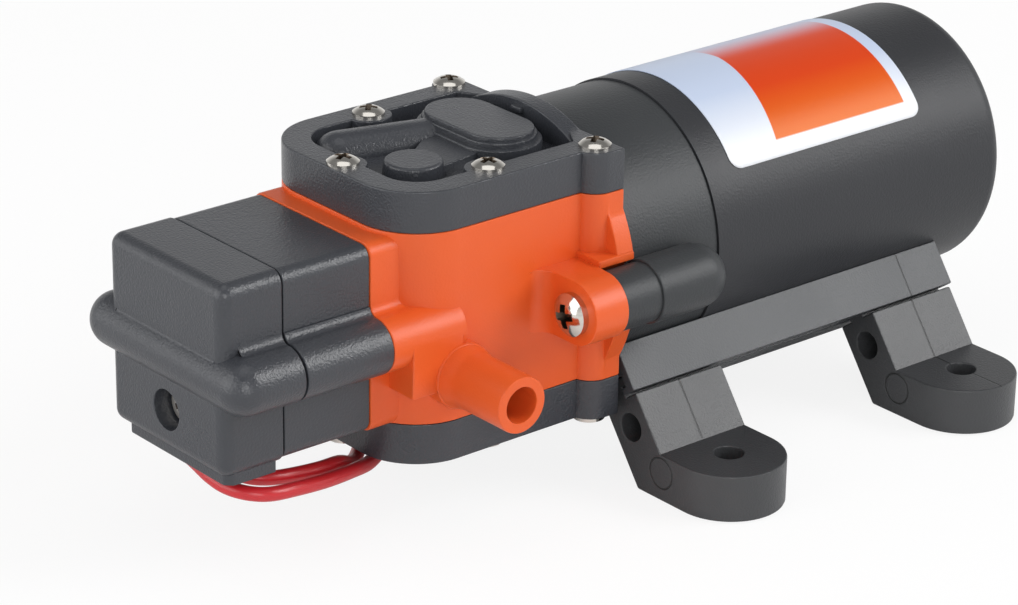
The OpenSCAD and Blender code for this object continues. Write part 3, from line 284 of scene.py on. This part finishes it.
def metal(name, base, roughness, scratch_mm):
    """A bare metal with fine directional scratches in its gloss."""
    material, tree, shader, place = new_material(name)
    shader.inputs["Metallic"].default_value = 1.0
    shader.inputs["Base Color"].default_value = linear(base)
    stretch = add(tree, "ShaderNodeMapping", {"Vector": place, "Scale": SCRATCH_STRETCH}).outputs["Vector"]
    marks = noise(tree, stretch, scratch_mm, SCRATCH_DETAIL)
    gloss = remap(tree, marks, 0.0, 1.0, roughness - BRIGHTER, roughness + DULLER)
    tree.links.new(gloss, shader.inputs["Roughness"])
    return material


nickel = metal("nickel_plated_steel", "#CFCBC4", roughness=0.12, scratch_mm=0.4)
# The cap's screw has a satin plating, which shows the light that falls into its hole
satin_nickel = metal("satin_nickel_plate", "#E4E0DA", roughness=0.45, scratch_mm=0.4)
# The plating is thin and dull where the driver bites
# The recess is darker: painted shade, a dark brown for the shade that falls in it, on a duller plating
recess_shade_nickel = metal("recess_painted_shade_nickel", "#665C52", roughness=0.3, scratch_mm=0.4)
steel = metal("ground_steel", "#C6C7C9", roughness=0.28, scratch_mm=0.3)
silicon_steel = metal("stamped_silicon_steel", "#8C8E90", roughness=0.45, scratch_mm=0.35)
copper = metal("bare_copper", "#C9784E", roughness=0.35, scratch_mm=0.3)
print("metals:", [m.name for m in (nickel, steel, silicon_steel, copper)])

# %% [markdown]
# ## Red leads
# Two soft leads come out under the switch cap, bend round its corner and run below the pump to the far
# side, where each goes into the adapter. A Geometry Nodes tree sweeps a circle along a smooth curve.
# The curve repeats the CAD's route points, so each lead lies where its solid is.

# %% Lead routes
LEAD_D = 2.4
LEAD_STEPS = 6
LEAD_ROUTES = {
    "red_lead_outer": [
        (-107.5, 7, -12.6), (-107.5, 7, -14.9), (-107.5, 6.3, -17.4), (-107.6, 4.5, -19.2),
        (-107.8, 2, -19.9), (-108.4, -1.6, -20.1), (-108.9, -5.6, -20.5), (-108.6, -9.4, -20.9),
        (-107, -12.6, -21.2), (-104, -14.4, -21.6), (-99, -14.4, -22.2), (-92, -13, -23.4),
        (-85, -10.4, -24.8), (-78, -6.5, -26.6), (-71, -1, -27.4), (-64.5, 6, -27.4), (-58.5, 13.5, -27.3),
        (-53, 20.5, -25.8), (-47, 26, -22.8), (-41, 29.4, -19.8), (-36, 31.8, -17.2), (-31.5, 33, -15.3),
        (-28, 33, -14), (-25.2, 31.4, -12.9), (-23.9, 28.8, -11.7), (-23.6, 25.6, -10.3),
        (-23.6, 20.8, -8.4)],
    "red_lead_inner": [
        (-104.4, 7, -12.6), (-104.4, 7, -14.9), (-104.4, 6.3, -17.4), (-104.5, 4.5, -19.2),
        (-104.6, 2, -19.9), (-104.9, -1.6, -20.2), (-104.9, -5, -20.7), (-103.6, -8, -21.1),
        (-101, -9.7, -21.5), (-97, -10.2, -22), (-91, -9.6, -22.9), (-85, -7.2, -24.4),
        (-79.4, -3.6, -27.2), (-73, 2.2, -27.5), (-67, 9, -27.5), (-61.6, 16.4, -27.4), (-56, 22.4, -25),
        (-50, 26.8, -20.6), (-44.4, 29.6, -16.4), (-40, 31.4, -13.9), (-36.4, 32.4, -12.9),
        (-33.2, 31.9, -12.6), (-30.9, 29.8, -11.9), (-30.1, 27, -10.8), (-30, 24, -9.7), (-30, 20.8, -8.4)],
}


def smooth_route(points):
    """Points in metres on a smooth curve through a route in mm from the motor axis."""
    stops = [Vector(p) + Vector((0, 0, AXIS_Z)) for p in points]
    route = [stops[0]]
    for i in range(len(stops) - 1):
        before, start, end, after = (stops[max(0, min(len(stops) - 1, i + k))] for k in (-1, 0, 1, 2))
        for step in range(1, LEAD_STEPS + 1):
            t = step / LEAD_STEPS
            route.append(0.5 * (2 * start + (end - before) * t
                                + (2 * before - 5 * start + 4 * end - after) * t * t
                                + (3 * start - before - 3 * end + after) * t ** 3))
    return [p * MM for p in route]


lead_lines = {name: smooth_route(points) for name, points in LEAD_ROUTES.items()}

# %% The sleeve tree and the two leads
SLEEVE_SIDES = 20
SLEEVE_SHARP_DEG, SCREW_SHARP_DEG = 50, 35


def geometry_tree(name):
    """A Geometry Nodes tree with geometry in and out."""
    tree = bpy.data.node_groups.new(name, "GeometryNodeTree")
    for way in ("INPUT", "OUTPUT"):
        tree.interface.new_socket("Geometry", in_out=way, socket_type="NodeSocketGeometry")
    return tree


def made_plain(maker, name, sharp_deg):
    """The evaluated result of an object's node tree as a plain mesh object."""
    graph = bpy.context.evaluated_depsgraph_get()
    mesh = bpy.data.meshes.new_from_object(maker.evaluated_get(graph))
    mesh.name = name
    bpy.data.objects.remove(maker)
    mesh.shade_smooth()
    mesh.set_sharp_from_angle(angle=math.radians(sharp_deg))
    return place_object(name, mesh)


def group_input(tree, name, kind):
    """A named input of a node group."""
    return tree.interface.new_socket(name, in_out="INPUT", socket_type=kind).identifier


sleeve_tree = geometry_tree("lead_sleeve")
sleeve_radius = group_input(sleeve_tree, "Radius", "NodeSocketFloat")
sleeve_finish = group_input(sleeve_tree, "Finish", "NodeSocketMaterial")
given = add(sleeve_tree, "NodeGroupInput").outputs
round_wire = add(sleeve_tree, "GeometryNodeCurvePrimitiveCircle",
                 {"Resolution": SLEEVE_SIDES, "Radius": given["Radius"]})
swept = add(sleeve_tree, "GeometryNodeCurveToMesh", {"Curve": given["Geometry"],
            "Profile Curve": round_wire.outputs["Curve"], "Fill Caps": True})
lone = add(sleeve_tree, "GeometryNodeRealizeInstances", {0: swept.outputs[0]})
coloured = add(sleeve_tree, "GeometryNodeSetMaterial",
               {"Geometry": lone.outputs[0], "Material": given["Finish"]})
add(sleeve_tree, "NodeGroupOutput", {"Geometry": coloured.outputs[0]})

for name, line in lead_lines.items():
    wire = bpy.data.curves.new(name + "_line", "CURVE")
    wire.dimensions = "3D"
    spline = wire.splines.new("POLY")
    spline.points.add(len(line) - 1)
    for point, place_at in zip(spline.points, line):
        point.co = (*place_at, 1.0)
    maker = place_object(name + "_maker", wire)
    steps = maker.modifiers.new("sleeve", "NODES")
    steps.node_group = sleeve_tree
    steps[sleeve_radius] = LEAD_D / 2 * MM
    steps[sleeve_finish] = red_pvc
    lead = made_plain(maker, name + "_sleeve", SLEEVE_SHARP_DEG)
    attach(lead, "housing")
    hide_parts(name)
print("leads:", list(lead_lines))

# %% [markdown]
# ## Softened mouldings
# A moulded piece has no knife edges: each corner has a small radius that catches the light.
# The CAD solids carry the shape with sharp edges, so a copy of each node is merged, its flat
# facets are joined, and every sharp outer edge gets a narrow round. The copy then stands for the node.

# %% Softened copies of the CAD mouldings
MERGE_MM = 0.004
FLAT = math.radians(0.5)
SHARP_EDGE = math.radians(30)
SAME_WAY = math.cos(math.radians(35))
ROUND_SEGMENTS = 2


def corner_normals(mesh):
    """A normal for each face corner.

    Each corner shades with the faces of about its own direction, the large ones most, so that flat
    faces stay flat and only the rounds and the turned forms shade smoothly.
    """
    faces = [(f.normal.copy(), f.area, list(f.vertices)) for f in mesh.polygons]
    around = [[] for _ in mesh.vertices]
    for normal, area, corners in faces:
        for corner in corners:
            around[corner].append((normal, area))
    return [sum((n * a for n, a in around[corner] if n.dot(normal) > SAME_WAY), Vector()).normalized()
            for normal, area, corners in faces for corner in corners]


def softened(node, material, radius):
    """A copy of a CAD node with rounded edges, standing for that node."""
    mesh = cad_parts[node].data.copy()
    mesh.name = node + "_moulding"
    form = bmesh.new()
    form.from_mesh(mesh)
    bmesh.ops.remove_doubles(form, verts=form.verts, dist=MERGE_MM * MM)
    bmesh.ops.dissolve_limit(form, angle_limit=FLAT, use_dissolve_boundaries=False,
                             verts=form.verts, edges=form.edges, delimit=set())
    sharp = [e for e in form.edges if len(e.link_faces) == 2 and e.is_convex
             and e.calc_face_angle(0.0) > SHARP_EDGE]
    bmesh.ops.bevel(form, geom=sharp, offset=radius * MM, offset_type="OFFSET", segments=ROUND_SEGMENTS,
                    profile=0.5, affect="EDGES", clamp_overlap=False, miter_outer="ARC", miter_inner="SHARP")
    bmesh.ops.recalc_face_normals(form, faces=form.faces)
    form.to_mesh(mesh)
    form.free()
    mesh.materials.clear()
    mesh.materials.append(material)
    mesh.shade_smooth()
    mesh.normals_split_custom_set(corner_normals(mesh))
    piece = place_object(node + "_moulding", mesh)
    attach(piece, "housing")
    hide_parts(node)


# Each row: nodes, finish, edge radius in mm, slot
MOULDINGS = [
    (("top_cover", "bottom_cover"), black_abs, 0.3, "black_plastic"),
    (("pump_body",), orange_abs, 0.3, "orange_plastic"),
    (("switch_base", "switch_cap"), black_abs, 0.3, "black_plastic"),
    (("motor_adapter",), black_nylon, 0.25, "black_plastic"),
    (("cradle",), cradle_nylon, 0.25, "black_plastic"),
    (("front_left_foot", "front_right_foot", "rear_left_foot", "rear_right_foot"), foot_rubber, 0.35,
     "black_rubber"),
]
for nodes, finish, radius, slot in MOULDINGS:
    for node in nodes:
        softened(node, finish, radius)
print("softened mouldings:", sum(len(row[0]) for row in MOULDINGS))

# %% [markdown]
# ## Screws
# Every screw that shows is a plated pan head with a cross recess, in three sizes. A Geometry Nodes tree
# makes one screw from its sizes and sets a copy on each place. A cylinder with rings on its end is domed
# by moving the rings, two crossed wedges cut the recess, and a shank follows. Each point of a small mesh
# is a screw's place, and it carries the screw's direction and the turn of its recess.

# %% The screw tree
HEAD_SIDES, HEAD_RINGS, SHANK_SIDES = 48, 10, 24
DOME_POWER = 2.6
# The recess wedges as shares of the head's diameter and height
WEDGE_LENGTH, WEDGE_WIDTH, WEDGE_HEIGHT, WEDGE_LIFT = 0.78, 0.24, 1.4, 0.98
# A wedge's width as a share: what it gains over its height, and what its middle has
TAPER_GAIN, TAPER_MIDDLE = 0.5, 0.75

screw_tree = geometry_tree("cross_head_screw")
SCREW_SIZES = ("Head Diameter", "Head Height", "Dome", "Shank Diameter", "Shank Length")
SCREW_SOCKETS = {name: group_input(screw_tree, name, "NodeSocketFloat") for name in SCREW_SIZES}
for name in ("Finish", "Recess Shade"):
    SCREW_SOCKETS[name] = group_input(screw_tree, name, "NodeSocketMaterial")
asked = add(screw_tree, "NodeGroupInput").outputs


def reckon(operation, a, b=0.0, c=0.0):
    """A sum in the screw tree."""
    return work(screw_tree, operation, a, b, c)


def vector(**parts):
    """A vector in the screw tree, from its named parts."""
    return add(screw_tree, "ShaderNodeCombineXYZ", parts).outputs[0]


# The head: end rings sink towards the rim, so the flat end becomes a dome with a round shoulder
head_r = reckon("MULTIPLY", asked["Head Diameter"], 0.5)
half_head = reckon("MULTIPLY", asked["Head Height"], 0.5)
blank = add(screw_tree, "GeometryNodeMeshCylinder", {"Vertices": HEAD_SIDES, "Side Segments": 1,
            "Fill Segments": HEAD_RINGS, "Radius": head_r, "Depth": asked["Head Height"]},
            fill_type="TRIANGLE_FAN")
spot = add(screw_tree, "GeometryNodeInputPosition").outputs[0]
at = add(screw_tree, "ShaderNodeSeparateXYZ", {0: spot}).outputs
reach = reckon("SQRT", reckon("MULTIPLY_ADD", at["X"], at["X"], reckon("MULTIPLY", at["Y"], at["Y"])))
sink = reckon("MULTIPLY", reckon("POWER", reckon("DIVIDE", reach, head_r), DOME_POWER), asked["Dome"])
on_end = reckon("GREATER_THAN", at["Z"], reckon("MULTIPLY", half_head, 0.9))
lift = reckon("MULTIPLY_ADD", sink, reckon("MULTIPLY", on_end, -1.0), half_head)
head = add(screw_tree, "GeometryNodeSetPosition", {"Geometry": blank.outputs["Mesh"],
                                                   "Offset": vector(Z=lift)})

# The recess: two crossed wedges, wide at the top and narrow at the bottom
cut_head = add(screw_tree, "GeometryNodeMeshBoolean", operation="DIFFERENCE", solver="EXACT")
screw_tree.links.new(head.outputs[0], cut_head.inputs["Mesh 1"])
taper = reckon("MULTIPLY_ADD", at["Z"], TAPER_GAIN, TAPER_MIDDLE)
slim = vector(X=reckon("MULTIPLY", at["X"], taper), Y=reckon("MULTIPLY", at["Y"], taper), Z=at["Z"])
recess_size = vector(X=reckon("MULTIPLY", asked["Head Diameter"], WEDGE_LENGTH),
                     Y=reckon("MULTIPLY", asked["Head Diameter"], WEDGE_WIDTH),
                     Z=reckon("MULTIPLY", asked["Head Height"], WEDGE_HEIGHT))
raised = vector(Z=reckon("MULTIPLY", asked["Head Height"], WEDGE_LIFT))
for turn in (0.0, math.pi / 2):
    block = add(screw_tree, "GeometryNodeMeshCube", {"Size": (1.0, 1.0, 1.0)})
    wedge = add(screw_tree, "GeometryNodeSetPosition", {"Geometry": block.outputs["Mesh"], "Position": slim})
    placed = add(screw_tree, "GeometryNodeTransform", {"Geometry": wedge.outputs[0], "Scale": recess_size,
                 "Translation": raised, "Rotation": Euler((0.0, 0.0, turn))})
    # The wedges' cut faces carry the recess's painted shade
    recess_shaded = add(screw_tree, "GeometryNodeSetMaterial", {"Geometry": placed.outputs[0],
                                                         "Material": asked["Recess Shade"]})
    screw_tree.links.new(recess_shaded.outputs[0], cut_head.inputs["Mesh 2"])

# The shank
shank = add(screw_tree, "GeometryNodeMeshCylinder", {"Vertices": SHANK_SIDES, "Radius":
            reckon("MULTIPLY", asked["Shank Diameter"], 0.5), "Depth": asked["Shank Length"]})
hung = vector(Z=reckon("MULTIPLY", asked["Shank Length"], -0.5))
shank_down = add(screw_tree, "GeometryNodeTransform", {"Geometry": shank.outputs["Mesh"],
                                                       "Translation": hung})
one_screw = add(screw_tree, "GeometryNodeJoinGeometry")
for made in (shank_down.outputs[0], cut_head.outputs["Mesh"]):
    screw_tree.links.new(made, one_screw.inputs[0])

# A copy of the whole screw on each place, plated everywhere but in its recess, which keeps its painted shade
way_out = add(screw_tree, "GeometryNodeInputNamedAttribute", {"Name": "way_out"}, data_type="FLOAT_VECTOR")
turned = add(screw_tree, "GeometryNodeInputNamedAttribute", {"Name": "turn"}, data_type="FLOAT")
spin = add(screw_tree, "FunctionNodeAxisAngleToRotation",
           {"Axis": (0.0, 0.0, 1.0), "Angle": turned.outputs[0]})
aim = add(screw_tree, "FunctionNodeAlignRotationToVector",
          {"Rotation": spin.outputs[0], "Vector": way_out.outputs[0]}, axis="Z")
copies = add(screw_tree, "GeometryNodeInstanceOnPoints", {"Points": asked["Geometry"],
             "Instance": one_screw.outputs[0], "Rotation": aim.outputs[0]})
plain = add(screw_tree, "GeometryNodeRealizeInstances", {0: copies.outputs[0]})
in_recess = add(screw_tree, "GeometryNodeMaterialSelection", {"Material": asked["Recess Shade"]})
outside = add(screw_tree, "FunctionNodeBooleanMath", {0: in_recess.outputs[0]}, operation="NOT")
plated = add(screw_tree, "GeometryNodeSetMaterial", {"Geometry": plain.outputs[0],
             "Selection": outside.outputs[0], "Material": asked["Finish"]})
add(screw_tree, "NodeGroupOutput", {"Geometry": plated.outputs[0]})
print("screw tree nodes:", len(screw_tree.nodes))

# %% [markdown]
# The places and sizes repeat the source's values, and the domes are the scene's own. The recess of each
# screw has a turn of its own, as screws driven by hand have. The lower cover's heads are drawn flatter,
# so that they show below its rim.

# %% Screws in their places
COVER_TOP = 23.4
COVER_PLACES = [(-78.3, 0.0), (-61.2, 15.4), (-61.2, -15.4), (-41.6, 18.6), (-41.6, -18.6)]
COVER_TURNS = (20, 48, 10, 62, 35)
MOTOR_X, MOTOR_Y, MOTOR_TURNS = -53.0, 27.4, (30, 12)
CAP_X, CAP_DROP, CAP_TURN = -108.7, 9.7, 25
# Sizes in mm: head diameter, head height, dome, shank diameter, shank length
TOP_SIZES = (5.4, 1.3, 0.85, 3.0, 16.0)
BOTTOM_SIZES = (5.4, 1.3, 0.3, 3.0, 16.0)
MOTOR_SIZES = (7.2, 2.4, 1.3, 4.0, 20.0)
CAP_SIZES = (5.6, 1.8, 0.25, 3.0, 16.0)


def screws(node, places, way, sizes, turns, finish=nickel):
    """Screws on points in mm from the floor, all facing one way, standing for a CAD node."""
    mesh = bpy.data.meshes.new(node + "_places")
    mesh.from_pydata([tuple(v * MM for v in p) for p in places], [], [])
    facing = mesh.attributes.new("way_out", "FLOAT_VECTOR", "POINT")
    facing.data.foreach_set("vector", [v for _ in places for v in way])
    turn = mesh.attributes.new("turn", "FLOAT", "POINT")
    turn.data.foreach_set("value", [math.radians(t) for t in turns])
    maker = place_object(node + "_maker", mesh)
    steps = maker.modifiers.new("screws", "NODES")
    steps.node_group = screw_tree
    for name, size in zip(SCREW_SIZES, sizes):
        steps[SCREW_SOCKETS[name]] = size * MM
    steps[SCREW_SOCKETS["Finish"]] = finish
    # The recess gets its painted shade
    steps[SCREW_SOCKETS["Recess Shade"]] = recess_shade_nickel
    piece = made_plain(maker, node + "_plated", SCREW_SHARP_DEG)
    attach(piece, "housing")
    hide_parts(node)
    return piece


top_screws = screws("top_cover_screws", [(x, y, AXIS_Z + COVER_TOP) for x, y in COVER_PLACES], (0, 0, 1),
                    TOP_SIZES, COVER_TURNS)
bottom_screws = screws("bottom_cover_screws", [(x, y, AXIS_Z - COVER_TOP) for x, y in COVER_PLACES],
                       (0, 0, -1), BOTTOM_SIZES, COVER_TURNS)
motor_screws = screws("motor_screws", [(MOTOR_X, y, AXIS_Z) for y in (MOTOR_Y, -MOTOR_Y)], (-1, 0, 0),
                      MOTOR_SIZES, MOTOR_TURNS)
cap_screw = screws("switch_cap_screw", [(CAP_X, 0.0, AXIS_Z - CAP_DROP)], (-1, 0, 0), CAP_SIZES, (CAP_TURN,),
                   finish=satin_nickel)
print("screw pieces:", [o.name for o in (top_screws, bottom_screws, motor_screws, cap_screw)])

# %% [markdown]
# ## Label
# A printed film with round corners is wrapped over the can. Its print is plain: a pale band in front, an
# orange panel behind it and a white border. The sheet is a grid of rows, each row as wide as the rounded
# outline there, bent to the can's radius, and its UV map carries the print.

# %% Label film
LABEL_X, LABEL_LEN, LABEL_WRAP, LABEL_CORNER, LABEL_T = -12.1, 44.4, 116.0, 2.2, 0.15
CAN_R, LABEL_GAP = 23.65, 0.01
CORNER_STEP_DEG, MIDDLE_ROWS, COLUMNS = 10, 20, 64
LABEL_SHARP_DEG = 40
label_arc = math.radians(LABEL_WRAP) * CAN_R
corner_rows = [LABEL_CORNER * (1 - math.cos(math.radians(a))) for a in range(0, 91, CORNER_STEP_DEG)]
straight = LABEL_LEN - 2 * LABEL_CORNER
rows = corner_rows + [LABEL_CORNER + straight * i / MIDDLE_ROWS for i in range(1, MIDDLE_ROWS)]
rows += [LABEL_LEN - row for row in reversed(corner_rows)]

label_mesh = bpy.data.meshes.new("label_film")
form = bmesh.new()
uv_layer = form.loops.layers.uv.new("print")
film_r = CAN_R + LABEL_GAP
grid = []
for along in rows:
    depth = min(along, LABEL_LEN - along, LABEL_CORNER)
    half = label_arc / 2 - LABEL_CORNER + math.sqrt(LABEL_CORNER ** 2 - (LABEL_CORNER - depth) ** 2)
    line = []
    for column in range(COLUMNS + 1):
        across = half * (2 * column / COLUMNS - 1)
        angle = across / CAN_R
        spot = Vector((LABEL_X + along, film_r * math.sin(angle), AXIS_Z + film_r * math.cos(angle)))
        line.append((form.verts.new(spot * MM), (along / LABEL_LEN, 0.5 + across / label_arc)))
    grid.append(line)
for near, far in zip(grid, grid[1:]):
    for column in range(COLUMNS):
        corners = [near[column], far[column], far[column + 1], near[column + 1]]
        face = form.faces.new([v for v, _ in corners])
        for loop, (_, uv) in zip(face.loops, corners):
            loop[uv_layer].uv = uv
bmesh.ops.recalc_face_normals(form, faces=form.faces)
form.faces.ensure_lookup_table()
middle = form.faces[len(form.faces) // 2 + COLUMNS // 2]
if (middle.calc_center_median() - Vector((0, 0, AXIS_Z * MM))).dot(middle.normal) < 0:
    bmesh.ops.reverse_faces(form, faces=form.faces)
form.to_mesh(label_mesh)
form.free()
label = place_object("motor_label_film", label_mesh)
thick = label.modifiers.new("film", "SOLIDIFY")
thick.thickness = LABEL_T * MM
thick.offset = 1.0
label_mesh.shade_smooth()
label_mesh.set_sharp_from_angle(angle=math.radians(LABEL_SHARP_DEG))
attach(label, "housing")
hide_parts("motor_label")
print("label faces:", len(label_mesh.polygons))

# %% [markdown]
# The film is satin vinyl. The print is worked out from the UV map in millimetres: a mask for the
# orange panel, a blend from yellow-orange at its lower edge to red-orange, a painted highlight that fades
# the panel out to the border over the top as glare would, and a pale blue tint in the border that fades to
# white downwards. The gloss varies a little.

# %% Printed vinyl
PANEL_FRONT, PANEL_LEAN, PANEL_REAR, PANEL_EDGE = 11.2, 3.4, 2.8, 2.9
ALONG_SOFT, ACROSS_SOFT = 0.002, 0.003
RED_INK, YELLOW_INK = "#CF4012", "#D86C14"
BLUE_TINT, BORDER_WHITE = "#BCC8DE", "#E2E4E8"
# Shares of the label's width: from its middle line for the inks and the tint, from its edge for the painted
# glare
INK_START, INK_END = 0.22, 0.46
TINT_START, TINT_END = 0.2, 0.45
GLARE_START, GLARE_END, GLARE_LEFT = 0.46, 0.66, 0.08
SCREEN_MM, SCREEN_DETAIL = 0.5, 2.0
FILM_GLOSS, FILM_SPECULAR = (0.30, 0.34), 0.2

vinyl, tree, shader, place = new_material("printed_vinyl_film")
uv = add(tree, "ShaderNodeUVMap", uv_map="print").outputs[0]
flat = add(tree, "ShaderNodeSeparateXYZ", {0: uv}).outputs


def within(value, low, high, soft):
    """1 where a value lies between two limits, with soft edges."""
    return work(tree, "MULTIPLY", remap(tree, value, low - soft, low + soft),
                remap(tree, value, high - soft, high + soft, 1.0, 0.0))


# The panel's front edge leans back towards the top
edge_share = PANEL_EDGE / label_arc
lean = remap(tree, flat["Y"], edge_share, 0.5, 0.0, PANEL_LEAN / LABEL_LEN)
front_in = within(work(tree, "SUBTRACT", flat["X"], lean), PANEL_FRONT / LABEL_LEN, 2.0, ALONG_SOFT)
rear_in = within(flat["X"], -1.0, 1 - PANEL_REAR / LABEL_LEN, ALONG_SOFT)
across_in = within(flat["Y"], edge_share, 1 - edge_share, ACROSS_SOFT)
panel = work(tree, "MULTIPLY", work(tree, "MULTIPLY", front_in, rear_in), across_in)

# Inks and border change with the distance from the label's middle line
down = work(tree, "ABSOLUTE", work(tree, "SUBTRACT", flat["Y"], 0.5))
ink = mix(tree, remap(tree, down, INK_START, INK_END), linear(RED_INK), linear(YELLOW_INK))
border = mix(tree, remap(tree, down, TINT_START, TINT_END), linear(BLUE_TINT), linear(BORDER_WHITE))
# Painted highlight: over the top the panel's ink fades out to the border, as glare would whiten it
fade = remap(tree, flat["Y"], GLARE_START, GLARE_END, 1.0, GLARE_LEFT, interpolation_type="SMOOTHSTEP")
paper = mix(tree, work(tree, "MULTIPLY", panel, fade), border, ink)
tree.links.new(paper, shader.inputs["Base Color"])
gloss = remap(tree, noise(tree, place, SCREEN_MM, SCREEN_DETAIL), 0.0, 1.0, *FILM_GLOSS)
tree.links.new(gloss, shader.inputs["Roughness"])
shader.inputs["Specular IOR Level"].default_value = FILM_SPECULAR
label_mesh.materials.append(vinyl)
print("panel in mm:", round(LABEL_LEN - PANEL_FRONT - PANEL_REAR, 1), "by",
      round(label_arc - 2 * PANEL_EDGE, 1))

# %% [markdown]
# ## Finishes of the nodes that keep their CAD shape
# Inner pieces and plain turned pieces are right as the CAD has them, so they only get a finish.

# %% Finishes by node
FINISHES = {
    black_paint: ["motor_can"],
    nickel: ["cradle_screws", "switch_base_screws"],
    white_acetal: ["top_valve_plate", "bottom_valve_plate", "yoke", "brush_card", "switch_plunger"],
    black_rubber: ["inlet_valves", "outlet_valves", "lead_grommets"],
    steel: ["clamp_plates", "clamp_screws", "eccentric", "eccentric_bearing", "motor_shaft",
            "front_bearing", "rear_bearing", "brush_springs"],
    silicon_steel: ["armature_core"],
    copper: ["armature_windings", "commutator"],
    carbon: ["brushes"],
    ferrite: ["magnets"],
    black_abs: ["micro_switch"],
    red_pvc: ["micro_switch_button"],
}
for finish, names in FINISHES.items():
    for name in names:
        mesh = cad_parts[name].data
        mesh.materials.clear()
        mesh.materials.append(finish)
print("nodes with a finish:", sum(len(names) for names in FINISHES.values()))

# %% [markdown]
# ## Soft inner pieces
# The diaphragms and the switch's spring are the pieces that give way when the yoke or the plunger moves.
# Each is a copy of its solid with its finish, standing for the node.

# %% Diaphragms and spring
PUMP_X = -52.0
# Each row: finish, slot, moving body, a point on the still face and one on the moving face, in mm
SOFT_PIECES = {
    "top_diaphragm": (black_rubber, "black_rubber", "yoke_set",
                      (PUMP_X, 0.0, 52.7), (PUMP_X, 0.0, 51.2)),
    "bottom_diaphragm": (black_rubber, "black_rubber", "yoke_set",
                         (PUMP_X, 0.0, 19.9), (PUMP_X, 0.0, 21.4)),
    "switch_diaphragm": (black_rubber, "black_rubber", "plunger",
                         (-84.75, 0.0, AXIS_Z), (-85.85, 0.0, AXIS_Z)),
    "switch_spring": (steel, "bright_steel", "plunger",
                      (-93.6, 0.0, AXIS_Z), (-88.76, 0.0, AXIS_Z)),
}
for node, (finish, finish_slot, moving, still_end, moving_end) in SOFT_PIECES.items():
    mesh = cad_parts[node].data.copy()
    mesh.materials.clear()
    mesh.materials.append(finish)
    piece = place_object(node + "_giving", mesh)
    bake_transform(piece)
    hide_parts(node)
print("pieces that give way:", list(SOFT_PIECES))

# %% [markdown]
# ## Stage
# The photograph is a cut-out on white under broad soft light. A pale floor carries a faint shadow,
# and the camera and bright metal see white behind it. The studio's ceiling is darker, so that bright
# metal and glossy tops have something dark to show beside the white.

# %% Floor
WHITE = (1.0, 1.0, 1.0, 1.0)
FLOOR_HALF, FLOOR_DROP = 3.0, 0.0002
# The share of plain white that the camera sees in the floor
FLOOR_WHITE = 0.86
floor_mesh = bpy.data.meshes.new("floor")
floor_mesh.from_pydata([(-FLOOR_HALF, -FLOOR_HALF, 0), (FLOOR_HALF, -FLOOR_HALF, 0),
                        (FLOOR_HALF, FLOOR_HALF, 0), (-FLOOR_HALF, FLOOR_HALF, 0)], [], [(0, 1, 2, 3)])
floor = place_object("floor", floor_mesh)
floor.location.z = -FLOOR_DROP
floor_paint, tree, shader, place = new_material("pale_floor")
shader.inputs["Base Color"].default_value = linear("#FAFAFA")
shader.inputs["Roughness"].default_value = 0.9
share = work(tree, "MULTIPLY", add(tree, "ShaderNodeLightPath").outputs["Is Camera Ray"], FLOOR_WHITE)
white = add(tree, "ShaderNodeEmission", {"Color": WHITE, "Strength": 1.0})
mixed = add(tree, "ShaderNodeMixShader", {0: share, 1: shader.outputs[0], 2: white.outputs[0]})
tree.links.new(mixed.outputs[0], tree.nodes["Material Output"].inputs["Surface"])
floor_mesh.materials.append(floor_paint)
print("floor in m:", 2 * FLOOR_HALF)

# %% World
AMBIENT = 0.25
# Heights in a mirrored ray's direction between which the ceiling darkens, and its level at the top
CEILING_START, CEILING_END, CEILING_DARK = 0.08, 0.7, 0.2
world = bpy.data.worlds.new("studio")
scene.world = world
world.use_nodes = True
tree = world.node_tree
background = tree.nodes["Background"]
path = add(tree, "ShaderNodeLightPath")
way = add(tree, "ShaderNodeSeparateXYZ", {0: add(tree, "ShaderNodeTexCoord").outputs["Generated"]}).outputs
ceiling = remap(tree, way["Z"], CEILING_START, CEILING_END, 1.0, CEILING_DARK)
mirrored = work(tree, "MAXIMUM", path.outputs["Is Glossy Ray"], path.outputs["Is Transmission Ray"])
seen = work(tree, "MAXIMUM", path.outputs["Is Camera Ray"], work(tree, "MULTIPLY", mirrored, ceiling))
background.inputs["Color"].default_value = WHITE
tree.links.new(work(tree, "MAXIMUM", seen, AMBIENT), background.inputs["Strength"])
print("world:", world.name)

# %% Lamps
MIDDLE = Vector((-0.03, 0.0, 0.035))
# Each row: name, place in m, size in m, watts
LAMPS = [
    ("key_box", (0.74, -0.74, 0.68), 0.7, 10.2),
    ("front_box", (-1.0, 0.3, 0.36), 1.2, 9.2),
    ("fill_box", (-0.62, -0.95, 0.42), 0.6, 4.2),
    ("top_box", (-0.10, -0.08, 1.20), 0.9, 2.8),
]
for name, lamp_at, size, watts in LAMPS:
    data = bpy.data.lights.new(name, "AREA")
    data.shape = "SQUARE"
    data.size = size
    data.energy = watts
    box = place_object(name, data)
    box.location = lamp_at
    box.rotation_euler = (MIDDLE - Vector(lamp_at)).to_track_quat("-Z", "Y").to_euler()
scene.view_settings.view_transform = "Standard"
